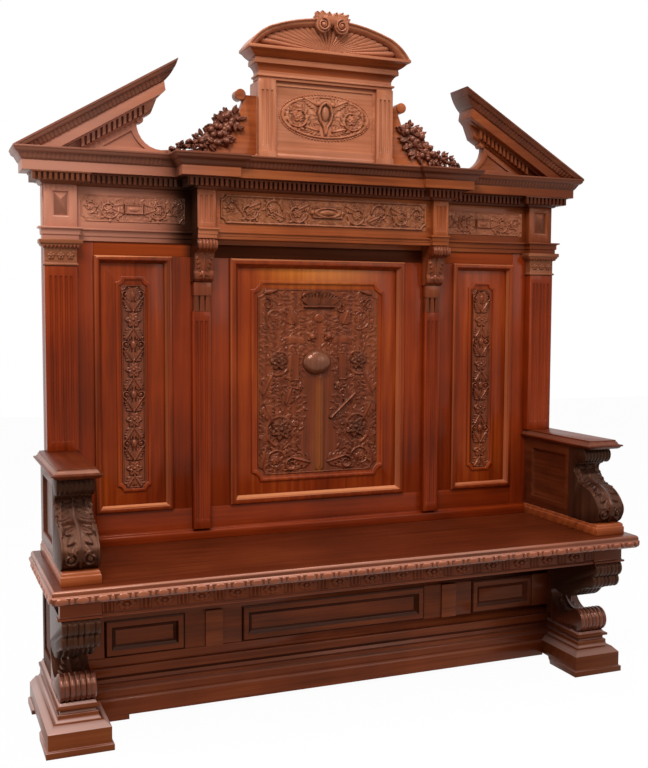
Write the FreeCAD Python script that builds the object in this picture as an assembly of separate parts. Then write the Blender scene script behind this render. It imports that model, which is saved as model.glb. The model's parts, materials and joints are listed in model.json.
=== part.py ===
import FreeCAD
import Part
import math
import os

# Carved hall bench with a panelled back, two scrolled arms and a broken pediment.
# Millimetres, +Z up, the front faces -Y. The origin lies on the floor under the middle.

Vec = FreeCAD.Vector

# Overall sizes
overall_depth = 530.0
back_frame_thickness = 50.0
joint_gap = 0.3

# Seat
seat_height = 480.0
seat_thickness = 42.0
seat_half_width = 937.0
seat_corner_radius = 12.0
seat_tongue_length = 15.0
apron_height = 53.0
apron_setback = 62.0
apron_thickness = 24.0
apron_bead = 10.0
bearer_width = 36.0
bearer_height = 45.0

# Feet and ends
end_centre_x = 850.0
foot_length = 438.0
foot_half_width = 92.0
foot_height = 134.0
foot_block_inset = 6.0
foot_pad_height = 20.0
foot_front_pad_length = 145.0
foot_rear_pad_length = 100.0
end_thickness = 88.0
end_edge_depth = 235.0
scroll_half_width = 51.0
scroll_roll_radius = 35.0
corbel_half_width = 52.0
corbel_height = 139.0
end_recess_depth = 10.0
end_stile_width = 38.0

# Front of the base
base_setback = 330.0
base_board_thickness = 24.0
base_opening_low = 179.0
base_opening_high = 291.0
base_mullion_inner = 318.0
base_mullion_outer = 499.0
base_stile_inner = 742.0
mullion_strip_half = 27.5
mullion_strip_proud = 8.0
base_panel_moulding = 34.0
plinth_clearance = 14.0
plinth_top = 69.0
plinth_proud = 40.0
base_moulding_top = 150.0
packing_block_length = 66.0
packing_block_x = -711.0
back_board_thickness = 18.0

# Arms
arm_half_width = 54.0
arm_setback = 46.0
arm_base_height = 37.0
arm_board_length = 270.0
arm_board_half_width = 50.0
arm_cap_bottom = 755.0
arm_cap_top = 784.0
arm_cap_length = 383.0
arm_recess_depth = 10.0
arm_recess_margin = 34.0

# Back frame and panels
post_outer = 883.0
wing_opening_outer = 736.0
wing_opening_inner = 496.0
centre_opening = 309.0
opening_low = 581.0
opening_high = 1371.0
frame_top = 1412.0
panel_setback = 9.0
panel_thickness = 14.0
wing_moulding_width = 22.0
centre_moulding_width = 28.0
moulding_proud = 12.0
border_margin = 41.0
border_width = 9.0
border_proud = 6.0
skirting_height = 35.0
skirting_thickness = 14.0

# Pilasters and capitals
outer_pilaster_centre = 836.0
outer_pilaster_half = 47.0
outer_pilaster_proud = 32.0
outer_pilaster_top = 1335.0
outer_flutes = 5
inner_pilaster_centre = 407.0
inner_pilaster_half = 29.0
inner_pilaster_proud = 22.0
inner_pilaster_top = 1202.0
inner_flutes = 3
flute_radius = 4.2
flute_end_margin = 30.0

# Entablature
architrave_top = 1449.0
frieze_height = 125.0
bed_mould_height = 34.0
crown_height = 66.0
corner_block_proud = 25.0
breakfront_half = 434.0
breakfront_depth = 59.0
breakfront_drop = 23.0
frieze_block_width = 58.0
frieze_block_proud = 18.0
frieze_block_rise = 9.0
corona_projection = 62.0
cornice_projection = 88.0
dentil_projection = 34.0
dentil_width = 8.5
dentil_pitch = 15.6
dentil_height = 21.0
console_half = 31.0
console_depth = 90.0
console_height = 134.0

# Broken pediment
rake_tip_x = 493.0
rake_tip_rise = 283.0
rake_end_reach = 172.0
rake_bed_reach = 140.0
rake_first_dentil = 190.0
tympanum_thickness = 32.0
tympanum_proud = 12.0
tympanum_scoop_radius = 77.0
rake_drop_radius = 11.0

# Tabernacle over the middle
case_half = 228.0
case_front = 44.0
case_depth = 84.0
case_height = 251.0
case_pilaster_width = 57.0
case_pilaster_proud = 15.0
case_cornice_height = 94.0
case_cornice_projection = 48.0
case_crown_setback = 35.0
arch_rise = 100.0
arch_band = 20.0
shell_setback = 26.0
shell_flutes = 9
crest_height = 35.0
crest_half = 60.0
crest_volute_radius = 24.0
side_scroll_height = 205.0
side_scroll_thickness = 30.0
side_scroll_proud = 20.0
side_scroll_roll = 17.0
swag_radius = 30.0
swag_proud = 26.0
swag_fruits = 9

# Straight chords that stand for one small arc of a moulding, and sides of small rounds
moulding_chords = 3
scroll_chords = 8
fruit_sides = 10
volute_sides = 16

# Places that follow from the sizes above
front_y = -overall_depth / 2
rear_y = overall_depth / 2
back_face_y = rear_y - back_frame_thickness
frieze_top = architrave_top + frieze_height
corona_bottom = frieze_top + bed_mould_height
cornice_top = corona_bottom + crown_height
breakfront_bottom = architrave_top - breakfront_drop
frieze_block_low = architrave_top + frieze_block_rise
seat_bottom = seat_height - seat_thickness
apron_bottom = seat_bottom - apron_height
apron_face_y = front_y + apron_setback
foot_front_y = rear_y - foot_length
end_half = end_thickness / 2
end_inner = end_centre_x - end_half
end_outer = end_centre_x + end_half
end_edge_y = rear_y - end_edge_depth
between_feet_half = end_centre_x - foot_half_width + foot_block_inset
base_face_y = front_y + base_setback
base_back_y = base_face_y + base_board_thickness
arm_front_y = front_y + arm_setback
arm_base_top = seat_height + arm_base_height
arm_board_front_y = back_face_y - arm_board_length
breakfront_y = back_face_y - breakfront_depth
frieze_block_y = breakfront_y - frieze_block_proud
frieze_block_inner = breakfront_half - frieze_block_width
case_low = cornice_top
case_top = cornice_top + case_height
case_face_y = back_face_y - case_front
case_rear_y = case_face_y + case_depth
case_cornice_top = case_top + case_cornice_height


# Outlines: a point ends a straight line, a pair of points is an arc's middle and end

def end_of(step):
    """Last point of one step of an outline."""
    return step[1] if isinstance(step[0], tuple) else step


def moved(outline, change):
    """Outline with every point put through a change."""
    result = []
    for step in outline:
        if isinstance(step[0], tuple):
            result.append((change(*step[0]), change(*step[1])))
        else:
            result.append(change(*step))
    return result


def small_round(x, z, radius, sides):
    """Many-sided outline that stands for a small round."""
    outline = []
    for index in range(sides):
        angle = 2 * math.pi * index / sides
        outline.append((x + radius * math.cos(angle), z + radius * math.sin(angle)))
    return outline


def in_chords(outline, chords=moulding_chords):
    """The same outline with each arc drawn as a few straight chords."""
    result = [outline[0]]
    for step in outline[1:]:
        if not isinstance(step[0], tuple):
            result.append(step)
            continue
        start, middle, end = [Vec(u, v, 0) for u, v in (result[-1], step[0], step[1])]
        arc = Part.Arc(start, middle, end)
        sweep = arc.LastParameter - arc.FirstParameter
        for index in range(1, chords):
            point = arc.value(arc.FirstParameter + sweep * index / chords)
            result.append((point.x, point.y))
        result.append(step[1])
    return result


def reversed_outline(outline):
    """The same outline walked the other way."""
    result = [end_of(outline[-1])]
    for index in range(len(outline) - 1, 0, -1):
        target = end_of(outline[index - 1])
        step = outline[index]
        result.append((step[0], target) if isinstance(step[0], tuple) else target)
    return result


def face_of(outline, place):
    """Flat face inside a closed outline, with each point placed in space."""
    edges = []
    here = place(*outline[0])
    for step in list(outline[1:]) + [outline[0]]:
        there = place(*end_of(step))
        if isinstance(step[0], tuple):
            edges.append(Part.Arc(here, place(*step[0]), there).toShape())
        elif here.distanceToPoint(there) > 1e-6:
            edges.append(Part.makeLine(here, there))
        here = there
    return Part.Face(Part.Wire(edges))


def prism_x(outline, x_low, x_high):
    """Outline in (y, z) drawn out along X."""
    face = face_of(outline, lambda y, z: Vec(x_low, y, z))
    return face.extrude(Vec(x_high - x_low, 0, 0))


def prism_y(outline, y_low, y_high):
    """Outline in (x, z) drawn out along Y."""
    face = face_of(outline, lambda x, z: Vec(x, y_low, z))
    return face.extrude(Vec(0, y_high - y_low, 0))


def prism_z(outline, z_low, z_high):
    """Outline in (x, y) drawn out along Z."""
    face = face_of(outline, lambda x, y: Vec(x, y, z_low))
    return face.extrude(Vec(0, 0, z_high - z_low))


def block(x_low, x_high, y_low, y_high, z_low, z_high):
    """Plain squared block between its six faces."""
    return Part.makeBox(x_high - x_low, y_high - y_low, z_high - z_low, Vec(x_low, y_low, z_low))


def fused(solids):
    """One solid out of several that touch or overlap."""
    result = solids[0]
    for solid in solids[1:]:
        result = result.fuse(solid)
    return result.removeSplitter()


def cut_all(solid, tools):
    """Solid less each of the tools."""
    for tool in tools:
        solid = solid.cut(tool)
    return solid


def main_piece(shape):
    """Largest solid of a cut piece, without the slivers that scribing leaves."""
    return max(shape.Solids, key=lambda solid: solid.Volume)


def twin(solid):
    """The same piece on the other side of the bench."""
    return solid.mirror(Vec(0, 0, 0), Vec(1, 0, 0))


def profiled_outline(profile, low, high, on_low, on_high):
    """Closed section of a block whose low and high edges may carry a moulding profile."""
    plain = [(0.0, end_of(profile[0])[1]), (0.0, end_of(profile[-1])[1])]
    high_side = profile if on_high else plain
    low_side = profile if on_low else plain
    up = moved(high_side, lambda out, z: (high + out, z))
    down = moved(reversed_outline(low_side), lambda out, z: (low - out, z))
    return up + down


def moulded_block(
    x_low, x_high, y_low, y_high, profile,
    left=True, right=True, front=True, rear=False,
):
    """Block with a moulding profile of (projection, z) on its chosen sides, mitred at the corners."""
    reach = 300.0
    chords = in_chords(profile)
    across = profiled_outline(chords, x_low, x_high, left, right)
    along = profiled_outline(chords, y_low, y_high, front, rear)
    by_width = prism_y(across, y_low - reach, y_high + reach)
    by_depth = prism_x(along, x_low - reach, x_high + reach)
    return by_width.common(by_depth)


def hollow_frame(x_low, x_high, z_low, z_high, width, back_y, proud):
    """Panel moulding: an ovolo outside, a cove inside, mitred at its four corners."""
    front = back_y - proud
    lip = proud * 0.35
    outside = [
        (0.0, back_y),
        (0.0, back_y - lip),
        ((width * 0.10, front + lip * 0.35), (width * 0.34, front)),
    ]
    inside = [
        (width, back_y + 1.0),
        (width, back_y - lip * 0.6),
        ((width * 0.72, front + proud * 0.42), (width * 0.62, front)),
        (width * 0.62, front - 1.0),
    ]
    outer = rect_pyramid(outside, x_low, x_high, z_low, z_high)
    inner = rect_pyramid(inside, x_low, x_high, z_low, z_high)
    return outer.cut(inner)


def rect_pyramid(section, x_low, x_high, z_low, z_high):
    """Solid over a rectangle whose four edges step inward by a section of (inset, y)."""
    reach = 400.0
    chords = in_chords(section)
    near_low = moved(chords, lambda inset, y: (x_low + inset, y))
    near_high = moved(reversed_outline(chords), lambda inset, y: (x_high - inset, y))
    across = prism_z(near_low + near_high, z_low - reach, z_high + reach)
    low = moved(chords, lambda inset, y: (y, z_low + inset))
    high = moved(reversed_outline(chords), lambda inset, y: (y, z_high - inset))
    upright = prism_x(low + high, x_low - reach, x_high + reach)
    return across.common(upright)


def clipped_outline(x_low, x_high, z_low, z_high, clip):
    """Rectangle whose corners are scooped by a quarter round of the clip size."""
    scoop = clip * (1.0 - math.sqrt(0.5))
    return [
        (x_low + clip, z_low),
        (x_high - clip, z_low),
        ((x_high - scoop - clip * 0.42, z_low + scoop + clip * 0.42), (x_high, z_low + clip)),
        (x_high, z_high - clip),
        ((x_high - scoop - clip * 0.42, z_high - scoop - clip * 0.42), (x_high - clip, z_high)),
        (x_low + clip, z_high),
        ((x_low + scoop + clip * 0.42, z_high - scoop - clip * 0.42), (x_low, z_high - clip)),
        (x_low, z_low + clip),
        ((x_low + scoop + clip * 0.42, z_low + scoop + clip * 0.42), (x_low + clip, z_low)),
    ]


def clipped_border(x_low, x_high, z_low, z_high, clip, width, back_y, proud):
    """Raised fillet round a tablet with scooped corners."""
    outer = in_chords(clipped_outline(x_low, x_high, z_low, z_high, clip))
    inner = clipped_outline(x_low + width, x_high - width, z_low + width, z_high - width, clip)
    inner = in_chords(inner)
    ring = prism_y(outer, back_y - proud, back_y)
    return ring.cut(prism_y(inner, back_y - proud - 1.0, back_y + 1.0))


def flute(x, front_y_face, z_low, z_high, radius):
    """Cutter for one round flute in an upright face, with its hollow in four chords."""
    slant = radius * math.sqrt(0.5)
    hollow = [
        (x - radius, front_y_face - 1.0),
        (x - radius, front_y_face),
        (x - slant, front_y_face + slant),
        (x, front_y_face + radius),
        (x + slant, front_y_face + slant),
        (x + radius, front_y_face),
        (x + radius, front_y_face - 1.0),
    ]
    return prism_z(hollow, z_low, z_high)


def flutes_across(centre, half, count, front_y_face, z_low, z_high, radius):
    """Cutters for a row of flutes evenly spread over a face."""
    pitch = 2 * half / count
    cutters = []
    for index in range(count):
        x = centre - half + pitch * (index + 0.5)
        cutters.append(flute(x, front_y_face, z_low, z_high, radius))
    return cutters


# Feet and ends

def plinth_foot():
    """Sled foot under one end: two pads, a bevelled block and a waisted neck."""
    neck = 47.0
    pad_out = foot_half_width - neck
    block_out = pad_out - foot_block_inset
    profile = [
        (pad_out, 0.0),
        (pad_out, foot_pad_height - 3.0),
        (block_out, foot_pad_height),
        (block_out, 65.0),
        (22.0, 82.0),
        ((11.0, 86.0), (8.0, 97.0)),
        (8.0, 103.0),
        ((1.0, 108.0), (3.0, 116.0)),
        (12.0, 118.0),
        (12.0, 125.0),
        ((4.0, 127.0), (0.0, foot_height)),
    ]
    foot = moulded_block(
        end_centre_x - neck, end_centre_x + neck,
        foot_front_y + pad_out, rear_y,
        profile,
    )
    middle_low = foot_front_y + foot_front_pad_length
    middle_high = rear_y - foot_rear_pad_length
    rise = foot_pad_height
    arch = [
        (middle_low, -1.0),
        (middle_low, 0.0),
        ((middle_low + rise * 0.3, rise * 0.7), (middle_low + rise, rise)),
        (middle_high - rise, rise),
        ((middle_high - rise * 0.3, rise * 0.7), (middle_high, 0.0)),
        (middle_high, -1.0),
    ]
    reach = foot_half_width + 10.0
    return foot.cut(prism_x(in_chords(arch), end_centre_x - reach, end_centre_x + reach))


def end_board_outline():
    """Side view of an end board, in (y, z)."""
    return [
        (rear_y, foot_height),
        (rear_y, seat_bottom),
        (apron_face_y + apron_thickness, seat_bottom),
        (apron_face_y + apron_thickness, apron_bottom),
        (end_edge_y, apron_bottom),
        (end_edge_y, foot_height),
    ]


def end_recess_limits():
    """Front, rear, bottom and top of the recessed field on an end board's outer face."""
    return (
        end_edge_y + end_stile_width,
        rear_y - end_stile_width,
        foot_height + end_stile_width,
        apron_bottom - 6.0,
    )


def end_board():
    """Thick end board that carries the seat, recessed outside for its panel."""
    board = prism_x(end_board_outline(), end_inner, end_outer)
    y_low, y_high, z_low, z_high = end_recess_limits()
    recess = block(end_outer - end_recess_depth, end_outer + 1.0, y_low, y_high, z_low, z_high)
    return board.cut(recess)


def end_panel():
    """Fielded panel that fills the end board's recess, with a bevelled border."""
    y_low, y_high, z_low, z_high = end_recess_limits()
    bevel = 22.0
    floor = end_outer - end_recess_depth
    field = floor + end_recess_depth * 0.7
    section = [(0.0, floor), (0.0, floor + 2.5), (bevel, field)]
    reach = 400.0
    low = moved(section, lambda inset, x: (x, y_low + inset))
    high = moved(reversed_outline(section), lambda inset, x: (x, y_high - inset))
    by_depth = prism_z(low + high, z_low - reach, z_high + reach)
    low = moved(section, lambda inset, x: (x, z_low + inset))
    high = moved(reversed_outline(section), lambda inset, x: (x, z_high - inset))
    by_height = prism_y(low + high, y_low - reach, y_high + reach)
    return by_depth.common(by_height)


def roll_centre():
    """Centre of the lower scroll's roll, in (y, z)."""
    return foot_front_y + 29.0 + scroll_roll_radius, foot_height + 2.0 + scroll_roll_radius


def lower_scroll():
    """Scroll over the foot: a roll in front, a hollow throat and a rise to the end board."""
    centre_y, centre_z = roll_centre()
    radius = scroll_roll_radius
    side = math.sqrt(0.5) * radius
    throat_y = end_edge_y - 54.0
    throat_z = centre_z + 9.0
    outline = [
        (end_edge_y, foot_height),
        (centre_y + side, foot_height),
        (centre_y + side, centre_z - side),
        ((centre_y - radius, centre_z), (centre_y + side, centre_z + side)),
        ((centre_y + side + 26.0, centre_z + 12.0), (throat_y, throat_z)),
        ((end_edge_y - 16.0, throat_z + 22.0), (end_edge_y, throat_z + 62.0)),
    ]
    low = end_centre_x - scroll_half_width
    return prism_x(outline, low, low + 2 * scroll_half_width)


def seat_corbel():
    """Lobed bracket between an end board and the overhanging seat."""
    tip = apron_face_y - 4.0
    deep = end_edge_y - tip

    def at(back, down):
        return tip + deep * back, apron_bottom - corbel_height * down

    outline = [
        at(1.0, 0.0),
        at(0.0, 0.0),
        (at(-0.038, 0.173), at(0.051, 0.317)),
        (at(0.025, 0.475), at(0.135, 0.590)),
        (at(0.262, 0.676), at(0.397, 0.784)),
        (at(0.540, 0.978), at(0.726, 1.0)),
        (at(0.878, 0.978), at(1.0, 0.849)),
    ]
    low = end_centre_x - corbel_half_width
    return prism_x(outline, low, low + 2 * corbel_half_width)


# Front and back of the base

def plinth_board(foot):
    """Skirting board between the feet, with a small cove along its top."""
    face = base_face_y - plinth_proud
    outline = [
        (face, plinth_clearance),
        (face, plinth_top - 12.0),
        ((face + 3.0, plinth_top - 5.0), (face + 9.0, plinth_top)),
        (base_back_y, plinth_top),
        (base_back_y, plinth_clearance),
    ]
    half = between_feet_half
    board = prism_x(in_chords(outline), -half, half)
    return cut_all(board, [foot, twin(foot)])


def base_moulding(foot, end, scroll):
    """Stepped moulding that leads from the plinth up to the panelled front."""
    face = base_face_y - plinth_proud
    low = plinth_top
    high = base_moulding_top
    outline = [
        (face + 9.0, low),
        (face + 9.0, low + 8.0),
        ((face + 13.0, low + 22.0), (face + 22.0, low + 27.0)),
        (face + 22.0, low + 34.0),
        ((face + 34.0, low + 40.0), (base_face_y - 8.0, low + 56.0)),
        (base_face_y - 8.0, high - 6.0),
        ((base_face_y - 6.0, high - 1.0), (base_face_y, high)),
        (base_back_y, high),
        (base_back_y, low),
    ]
    board = prism_x(in_chords(outline), -end_centre_x, end_centre_x)
    tools = []
    for piece in (foot, end, scroll):
        tools.extend([piece, twin(piece)])
    return cut_all(board, tools)


def base_frame():
    """Rails, mullions and end stiles of the panelled front."""
    y_low = base_face_y
    y_high = base_back_y
    top_rail = block(-end_inner, end_inner, y_low, y_high, base_opening_high, seat_bottom)
    bottom_rail = block(-end_inner, end_inner, y_low, y_high, base_moulding_top, base_opening_low)
    members = [top_rail, bottom_rail]
    strip_centre = (base_mullion_inner + base_mullion_outer) / 2
    for side in (-1, 1):
        mullion = block(
            base_mullion_inner, base_mullion_outer, y_low, y_high,
            base_opening_low, base_opening_high,
        )
        strip = block(
            strip_centre - mullion_strip_half, strip_centre + mullion_strip_half,
            y_low - mullion_strip_proud, y_low,
            base_opening_low, base_opening_high,
        )
        stile = block(base_stile_inner, end_inner, y_low, y_high, base_opening_low, base_opening_high)
        for piece in (fused([mullion, strip]), stile):
            members.append(piece if side > 0 else twin(piece))
    return members


def base_panel(x_low, x_high):
    """Flat field with its raised moulding, held in one opening of the base."""
    y_panel = base_face_y + 8.0
    field = block(x_low, x_high, y_panel, y_panel + 12.0, base_opening_low, base_opening_high)
    frame = hollow_frame(
        x_low, x_high, base_opening_low, base_opening_high,
        base_panel_moulding, y_panel, 14.0,
    )
    return fused([field, frame])


def base_panels():
    """Three panels across the front of the base."""
    wing = base_panel(base_mullion_outer, base_stile_inner)
    centre = base_panel(-base_mullion_inner, base_mullion_inner)
    return [centre, wing, twin(wing)]


def base_back_board():
    """Plain board that closes the back of the base, notched over the feet."""
    low = between_feet_half - 1.0
    outline = [
        (-low, plinth_clearance),
        (low, plinth_clearance),
        (low, foot_height),
        (end_inner, foot_height),
        (end_inner, seat_bottom),
        (-end_inner, seat_bottom),
        (-end_inner, foot_height),
        (-low, foot_height),
    ]
    return prism_y(outline, rear_y - back_board_thickness, rear_y)


def packing_block():
    """Small block under the left end of the plinth."""
    face = base_face_y - plinth_proud
    half = packing_block_length / 2
    return block(packing_block_x - half, packing_block_x + half, face, face + 40.0, 0.0, plinth_clearance)


# Seat and apron

def seat_board():
    """Seat plank with a moulded nosing on three sides, notched round the back posts."""
    z = seat_bottom
    profile = [
        (-20.0, z),
        ((-8.0, z + 4.0), (-3.0, z + 14.0)),
        ((0.0, z + 19.0), (-2.0, z + 24.0)),
        (-6.0, z + 27.0),
        (-6.0, z + 32.0),
        ((-7.5, z + 38.0), (-12.0, seat_height)),
    ]
    rear = back_face_y + seat_tongue_length
    plank = moulded_block(-seat_half_width, seat_half_width, front_y, rear, profile)
    notch_half = post_outer + joint_gap
    plank = plank.cut(block(-notch_half, notch_half, back_face_y, rear + 1.0, z - 1.0, seat_height + 1.0))
    r = seat_corner_radius
    off = r * (1.0 - math.sqrt(0.5))
    w = seat_half_width
    rounded = [
        (-w, rear + 1.0),
        (-w, front_y + r),
        ((-w + off, front_y + off), (-w + r, front_y)),
        (w - r, front_y),
        ((w - off, front_y + off), (w, front_y + r)),
        (w, rear + 1.0),
    ]
    return plank.common(prism_z(rounded, z - 1.0, seat_height + 1.0))


def seat_apron():
    """Deep strip under the front edge of the seat, with a bead along its bottom."""
    inner = end_centre_x - corbel_half_width - 3.0
    face = apron_face_y
    bead = apron_bead
    outline = [
        (face, apron_bottom + bead + 2.0),
        (face - bead * 0.3, apron_bottom + bead),
        ((face - bead * 0.8, apron_bottom + bead * 0.5), (face - bead * 0.3, apron_bottom)),
        (face + apron_thickness, apron_bottom),
        (face + apron_thickness, seat_bottom),
        (face, seat_bottom),
    ]
    return prism_x(in_chords(outline), -inner, inner)


def apron_block():
    """Squared block at the end of the apron, over a corbel."""
    z = apron_bottom
    profile = [
        (2.0, z),
        ((7.0, z + 2.0), (7.0, z + 7.0)),
        ((2.0, z + 8.0), (0.0, z + 13.0)),
        (0.0, seat_bottom),
    ]
    half = corbel_half_width + 3.0
    return moulded_block(
        end_centre_x - half, end_centre_x + half,
        apron_face_y - 5.0, apron_face_y + apron_thickness,
        profile, left=False,
    )


def seat_bearers():
    """Battens under the seat from the base to the apron, and along the back board."""
    y_low = apron_face_y + apron_thickness
    bearers = []
    strip_centre = (base_mullion_inner + base_mullion_outer) / 2
    for x in (-strip_centre, 0.0, strip_centre):
        bearers.append(block(
            x - bearer_width / 2, x + bearer_width / 2,
            y_low, base_face_y,
            seat_bottom - bearer_height, seat_bottom,
        ))
    back = rear_y - back_board_thickness
    bearers.append(block(
        -end_inner, end_inner, back - bearer_width, back,
        seat_bottom - bearer_height, seat_bottom,
    ))
    return bearers


# Arms

def arm_base():
    """Low block on the seat that carries an arm."""
    z = seat_height
    profile = [
        (0.0, z),
        (0.0, arm_base_top - 13.0),
        (-3.0, arm_base_top - 11.0),
        ((-3.5, arm_base_top - 4.0), (-8.0, arm_base_top)),
    ]
    x_low = end_centre_x - arm_half_width
    x_high = end_centre_x + arm_half_width
    return moulded_block(x_low, x_high, arm_front_y, back_face_y, profile)


def arm_board():
    """Thick arm side with a recessed field on both faces."""
    x_low = end_centre_x - arm_board_half_width
    x_high = end_centre_x + arm_board_half_width
    board = block(x_low, x_high, arm_board_front_y, back_face_y, arm_base_top, arm_cap_bottom)
    y_low = arm_board_front_y + arm_recess_margin * 0.7
    y_high = back_face_y - arm_recess_margin * 1.5
    z_low = arm_base_top + arm_recess_margin
    z_high = arm_cap_bottom - arm_recess_margin
    inner = block(x_low - 1.0, x_low + arm_recess_depth, y_low, y_high, z_low, z_high)
    outer = block(x_high - arm_recess_depth, x_high + 1.0, y_low, y_high, z_low, z_high)
    return cut_all(board, [inner, outer])


def arm_console_outline():
    """Side view of an arm's scrolled front, in (y, z): a small roll over a full belly."""
    deep = arm_board_front_y - arm_front_y
    tall = arm_cap_bottom - arm_base_top

    def at(back, down):
        return arm_front_y + deep * back, arm_cap_bottom - tall * down

    return [
        at(1.0, 1.0),
        at(1.0, 0.0),
        at(0.585, 0.0),
        (at(0.457, 0.126), at(0.585, 0.197)),
        (at(0.732, 0.218), at(0.805, 0.261)),
        (at(0.829, 0.311), at(0.744, 0.395)),
        (at(0.646, 0.479), at(0.476, 0.529)),
        (at(0.220, 0.605), at(0.055, 0.723)),
        (at(0.006, 0.790), at(0.043, 0.899)),
        (at(0.128, 0.975), at(0.238, 1.0)),
    ]


def arm_console():
    """Scrolled front of an arm."""
    low = end_centre_x - arm_board_half_width - 2.0
    return prism_x(arm_console_outline(), low, low + 2 * arm_board_half_width + 4.0)


def arm_cap():
    """Moulded arm rest, with a tongue past the back post."""
    z = arm_cap_bottom
    profile = [
        (0.0, z),
        ((9.0, z + 2.0), (14.0, z + 9.0)),
        (18.0, z + 9.0),
        (18.0, z + 14.0),
        ((7.0, z + 17.0), (4.0, z + 24.0)),
        (1.0, z + 24.0),
        (1.0, arm_cap_top),
    ]
    half = arm_board_half_width + 1.0
    rear = back_face_y + seat_tongue_length
    cap = moulded_block(
        end_centre_x - half, end_centre_x + half,
        back_face_y - arm_cap_length, rear, profile,
    )
    notch = block(0.0, post_outer + joint_gap, back_face_y, rear + 1.0, z - 1.0, arm_cap_top + 1.0)
    return cap.cut(notch)


# Back frame, panels and mouldings

def back_frame():
    """Rails and inner stiles of the panelled back."""
    outer = wing_opening_outer
    low_rail = block(-outer, outer, back_face_y, rear_y, seat_bottom, opening_low)
    top_rail = block(-outer, outer, back_face_y, rear_y, opening_high, frame_top)
    stile = block(centre_opening, wing_opening_inner, back_face_y, rear_y, opening_low, opening_high)
    return [low_rail, top_rail, stile, twin(stile)]


def back_posts():
    """Outer posts of the back, which stand on the end boards."""
    post = block(wing_opening_outer, post_outer, back_face_y, rear_y, seat_bottom, frame_top)
    return [post, twin(post)]


def back_panel(x_low, x_high, margin, clip):
    """Panel board with a raised border that has scooped corners."""
    y_panel = back_face_y + panel_setback
    board = block(x_low, x_high, y_panel, y_panel + panel_thickness, opening_low, opening_high)
    border = clipped_border(
        x_low + margin + 26.0, x_high - margin - 26.0,
        opening_low + margin + 22.0, opening_high - margin - 22.0,
        clip, border_width, y_panel, border_proud,
    )
    return fused([board, border])


def panel_mouldings():
    """Raised mouldings that hold the three back panels."""
    y_panel = back_face_y + panel_setback
    proud = panel_setback + moulding_proud
    wing = hollow_frame(
        wing_opening_inner, wing_opening_outer, opening_low, opening_high,
        wing_moulding_width, y_panel, proud,
    )
    centre = hollow_frame(
        -centre_opening, centre_opening, opening_low, opening_high,
        centre_moulding_width, y_panel, proud,
    )
    return [centre, wing, twin(wing)]


def seat_skirting():
    """Moulded strip that covers the joint of seat and back."""
    inner = end_centre_x - arm_half_width
    face = back_face_y - skirting_thickness
    top = seat_height + skirting_height
    outline = [
        (back_face_y, seat_height),
        (face, seat_height),
        (face, top - 14.0),
        ((face + 1.5, top - 8.0), (face + 7.0, top - 6.0)),
        ((face + 10.0, top - 3.0), (face + 10.0, top)),
        (back_face_y, top),
    ]
    return prism_x(in_chords(outline), -inner, inner)


def pilaster(centre, half, proud, z_low, z_high, count):
    """Flat fluted pilaster on the face of the back."""
    face = back_face_y - proud
    shaft = block(centre - half, centre + half, face, back_face_y, z_low, z_high)
    cutters = flutes_across(
        centre, half * 0.78, count, face,
        z_low + flute_end_margin, z_high - flute_end_margin, flute_radius,
    )
    return cut_all(shaft, cutters)


def pilaster_capital():
    """Capital over an outer pilaster: bead, necking, quarter round and abacus."""
    z = outer_pilaster_top
    top = frame_top
    profile = [
        (0.0, z),
        ((5.0, z + 4.0), (0.0, z + 8.0)),
        (0.0, top - 26.0),
        (3.0, top - 26.0),
        (3.0, top - 22.0),
        ((9.0, top - 20.0), (13.0, top - 12.0)),
        (16.0, top - 12.0),
        (16.0, top),
    ]
    return moulded_block(
        outer_pilaster_centre - outer_pilaster_half, outer_pilaster_centre + outer_pilaster_half,
        back_face_y - outer_pilaster_proud, back_face_y,
        profile,
    )


# Entablature

def architrave_profile(low, high, fascia, lip):
    """Two fascias under a fillet."""
    return [
        (0.0, low),
        (fascia * 0.6, low),
        (fascia * 0.6, low + (high - low) * 0.36),
        (fascia, low + (high - low) * 0.40),
        (fascia, high - 9.0),
        ((fascia + 2.0, high - 6.0), (lip, high - 5.0)),
        (lip, high),
    ]


def architraves():
    """Moulded strips under the frieze: two wings, and the breakfront with its two breaks."""
    profile = architrave_profile(frame_top, architrave_top, 9.0, 17.0)
    run = moulded_block(
        breakfront_half, post_outer, back_face_y - 0.5, back_face_y,
        profile, left=False, right=False,
    )
    over_capital = moulded_block(
        outer_pilaster_centre - outer_pilaster_half, post_outer,
        back_face_y - outer_pilaster_proud, back_face_y, profile,
    )
    wing = fused([run, over_capital])
    box_profile = architrave_profile(breakfront_bottom, breakfront_bottom + 24.0, 5.0, 11.0)
    block_profile = architrave_profile(breakfront_bottom, frieze_block_low, 5.0, 11.0)
    middle = moulded_block(
        -frieze_block_inner, frieze_block_inner, breakfront_y - 0.5, breakfront_y,
        box_profile, left=False, right=False,
    )
    ressaut = moulded_block(
        frieze_block_inner, breakfront_half, frieze_block_y, breakfront_y, block_profile,
    )
    beside = block(
        breakfront_half, post_outer, front_y, back_face_y,
        inner_pilaster_top, frieze_top,
    )
    ressaut = ressaut.cut(beside)
    return [wing, twin(wing), fused([middle, ressaut, twin(ressaut)])]


def wing_frieze():
    """Frieze board over one wing of the back."""
    return block(breakfront_half, post_outer, back_face_y, rear_y, frame_top, frieze_top)


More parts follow.
